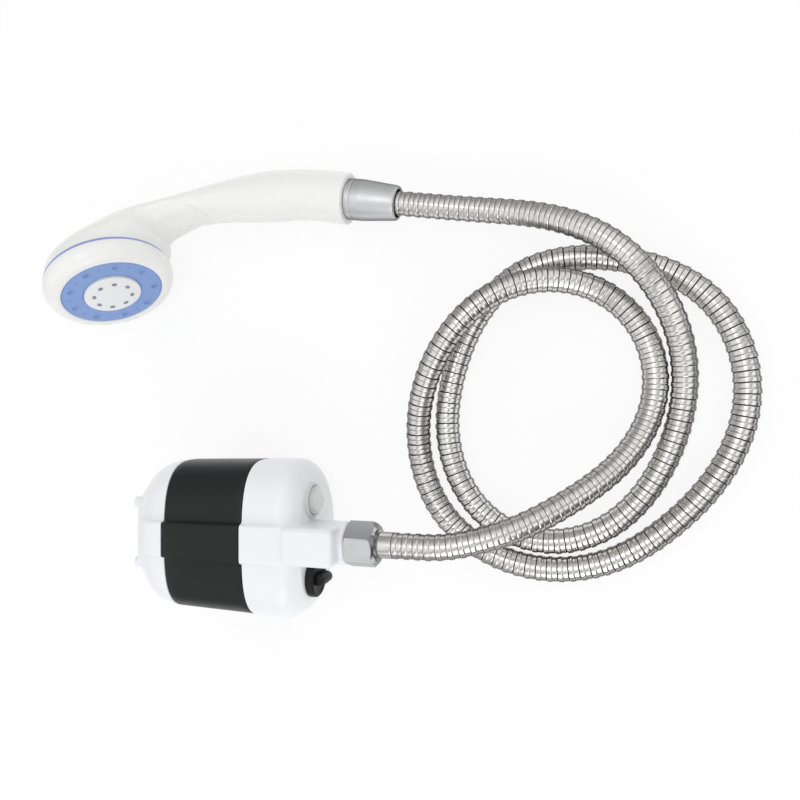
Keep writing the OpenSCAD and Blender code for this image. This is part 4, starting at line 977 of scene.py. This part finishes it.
def plate_height(r, w):
    """The plate's shallow crown, 1 mm high, with an eased edge."""
    crown_r = (PLATE_R * PLATE_R + 1) / 2
    edge = 0.45 * ease_in(r, PLATE_R - 0.8, PLATE_R)
    return FACE_TOP + 2.5 - crown_r + math.sqrt(crown_r * crown_r - r * r) - edge


plate_radii = [0.001] + [PLATE_R * k / 30 for k in range(1, 31)]
plate_mesh = polar_face("centre_disc", plate_radii, plate_height, 128, FACE_FLOOR)
add_piece("centre_disc", plate_mesh, white_plate, "handset", ["centre_plate"], 40)
marks = grown("plate_slots", ring_of_studs, {
    "Count": SLOTS, "Ring": SLOT_RING * MM, "Foot": SLOT_R * MM, "Tip": SLOT_R * MM, "Height": 0.5 * MM,
    "Stretch": Vector((0.9, 1.2, 1)), "Sides": 24, "Turn": 0.0, "Material": slot_grey})
put_on_face(marks, plate_height(SLOT_RING, 0) - 0.2, SLOT_TURN)
add_piece("plate_slots", marks, slot_grey, "handset", (), 40)

# Cone nut at the handle's end
cone_profile = [(10.5, 0.2), (11.7, 0.2), (12.05, 0.35), (12.2, 0.8), (12.2, 3.2), (11.95, 3.5), (11.95, 3.9),
                (12.15, 4.2), (12.1, 9.5), (10.3, 29.2), (10.1, 30.2), (9.6, 30.95), (9.0, 31.2), (8.2, 31.0),
                (8.15, 22), (10.5, 20.2)]
cone_mesh = turned("cone_sleeve", rounded(cone_profile, 0.3, 3), at_handset @ along_x(0), 128, True)
add_piece("cone_sleeve", cone_mesh, satin_chrome, "cone_nut", ["cone_nut"], 40)

# Floor, light and surroundings
FLOOR_HALF, FLOOR_Z, MIDDLE = 4, -0.0004, (0.09, 0.08, 0)
floor_corners = [(x * FLOOR_HALF, y * FLOOR_HALF, FLOOR_Z) for x, y in ((-1, -1), (1, -1), (1, 1), (-1, 1))]
floor_mesh = bpy.data.meshes.new("floor")
floor_mesh.from_pydata(floor_corners, [], [(0, 1, 2, 3)])
floor = bpy.data.objects.new("floor", floor_mesh)
scene.collection.objects.link(floor)
floor_paint = bpy.data.materials.new("floor_paper")
floor_paint.use_nodes = True
tree = floor_paint.node_tree
tree.nodes.clear()
paper = tree.nodes.new("ShaderNodeBsdfDiffuse")
glow = tree.nodes.new("ShaderNodeEmission")
far = tree.nodes.new("ShaderNodeVectorMath")
far.operation = "DISTANCE"
far.inputs[1].default_value = MIDDLE
tree.links.new(tree.nodes.new("ShaderNodeTexCoord").outputs["Object"], far.inputs[0])
path = tree.nodes.new("ShaderNodeLightPath")
# Mirrored in metal, the paper ends some way out; to the camera it is white everywhere
mirrors = add_math(tree, "SUBTRACT", 1.0, path.outputs["Is Camera Ray"])
paper_end = add_range(tree, far.outputs["Value"], 0.42, 0.75, 0.0, 1.0, True)
fade = add_math(tree, "MULTIPLY", paper_end, mirrors)
tree.links.new(add_mix(tree, fade, (0.93, 0.93, 0.93), (0.5, 0.5, 0.5)), paper.inputs["Color"])
tree.links.new(add_mix(tree, fade, (1.0, 1.0, 1.0), (0.3, 0.3, 0.3)), glow.inputs["Color"])
seen = add_math(tree, "MAXIMUM", path.outputs["Is Camera Ray"], path.outputs["Is Glossy Ray"])
seen = add_math(tree, "MAXIMUM", seen, path.outputs["Is Transmission Ray"])
GLOW_SHARE = 0.86
share = add_math(tree, "MULTIPLY", seen, GLOW_SHARE)
both = tree.nodes.new("ShaderNodeMixShader")
tree.links.new(share, both.inputs[0])
tree.links.new(paper.outputs[0], both.inputs[1])
tree.links.new(glow.outputs[0], both.inputs[2])
ending = tree.nodes.new("ShaderNodeOutputMaterial")
tree.links.new(both.outputs[0], ending.inputs["Surface"])
floor_mesh.materials.append(floor_paint)

world = bpy.data.worlds.new("studio")
scene.world = world
world.use_nodes = True
tree = world.node_tree
tree.nodes.clear()
way = tree.nodes.new("ShaderNodeTexCoord").outputs["Generated"]


def along(direction):
    """How far the light's direction points along another one, from -1 to 1."""
    node = tree.nodes.new("ShaderNodeVectorMath")
    node.operation = "DOT_PRODUCT"
    node.inputs[1].default_value = Vector(direction).normalized()
    tree.links.new(way, node.inputs[0])
    return node.outputs["Value"]


# What the metals mirror: a broad pale panel, a dark gap, a bright strip and dark edges
panels = tree.nodes.new("ShaderNodeValToRGB")
panel_steps = ((-0.95, 0.35), (-0.72, 0.4), (-0.5, 0.85), (0.1, 0.92), (0.22, 0.4), (0.32, 0.42),
               (0.44, 1.15), (0.64, 1.15), (0.78, 0.3), (0.95, 0.25))
stops = panels.color_ramp.elements
while len(stops) < len(panel_steps):
    stops.new(0.5)
for stop, (place, level) in zip(stops, panel_steps):
    stop.position = (place + 1) / 2
    stop.color = (level, level, level, 1)
tree.links.new(add_range(tree, along((0.7, -0.7, 0)), -1.0, 1.0, 0.0, 1.0), panels.inputs["Fac"])
up = add_range(tree, along((-0.2, 0.1, 0.97)), 0.0, 0.4, 0.3, 1.0, True)
mirrored = add_mix(tree, 1.0, panels.outputs["Color"], up, "MULTIPLY")
path = tree.nodes.new("ShaderNodeLightPath")
EVEN_LIGHT = (0.94, 0.94, 0.94)
sky = add_mix(tree, path.outputs["Is Glossy Ray"], EVEN_LIGHT, mirrored)
sky = add_mix(tree, path.outputs["Is Camera Ray"], sky, (1.0, 1.0, 1.0))
ground = tree.nodes.new("ShaderNodeBackground")
ground.inputs["Strength"].default_value = 1.0
tree.links.new(sky, ground.inputs["Color"])
ending = tree.nodes.new("ShaderNodeOutputWorld")
tree.links.new(ground.outputs[0], ending.inputs["Surface"])


def add_lamp(name, place, target, width, depth, power):
    """A soft box that points at a target."""
    data = bpy.data.lights.new(name, "AREA")
    data.shape = "RECTANGLE"
    data.size, data.size_y = width, depth
    data.energy = power
    lamp = bpy.data.objects.new(name, data)
    lamp.location = place
    lamp.rotation_euler = (Vector(target) - Vector(place)).to_track_quat("-Z", "Y").to_euler()
    scene.collection.objects.link(lamp)


LAMP_TARGET = (0.09, 0.08, 0.02)
add_lamp("key_lamp", (0.0, 0.25, 1.4), LAMP_TARGET, 0.3, 0.3, 1.2)
add_lamp("fill_lamp", (0.35, -0.95, 0.6), LAMP_TARGET, 0.7, 0.6, 2)
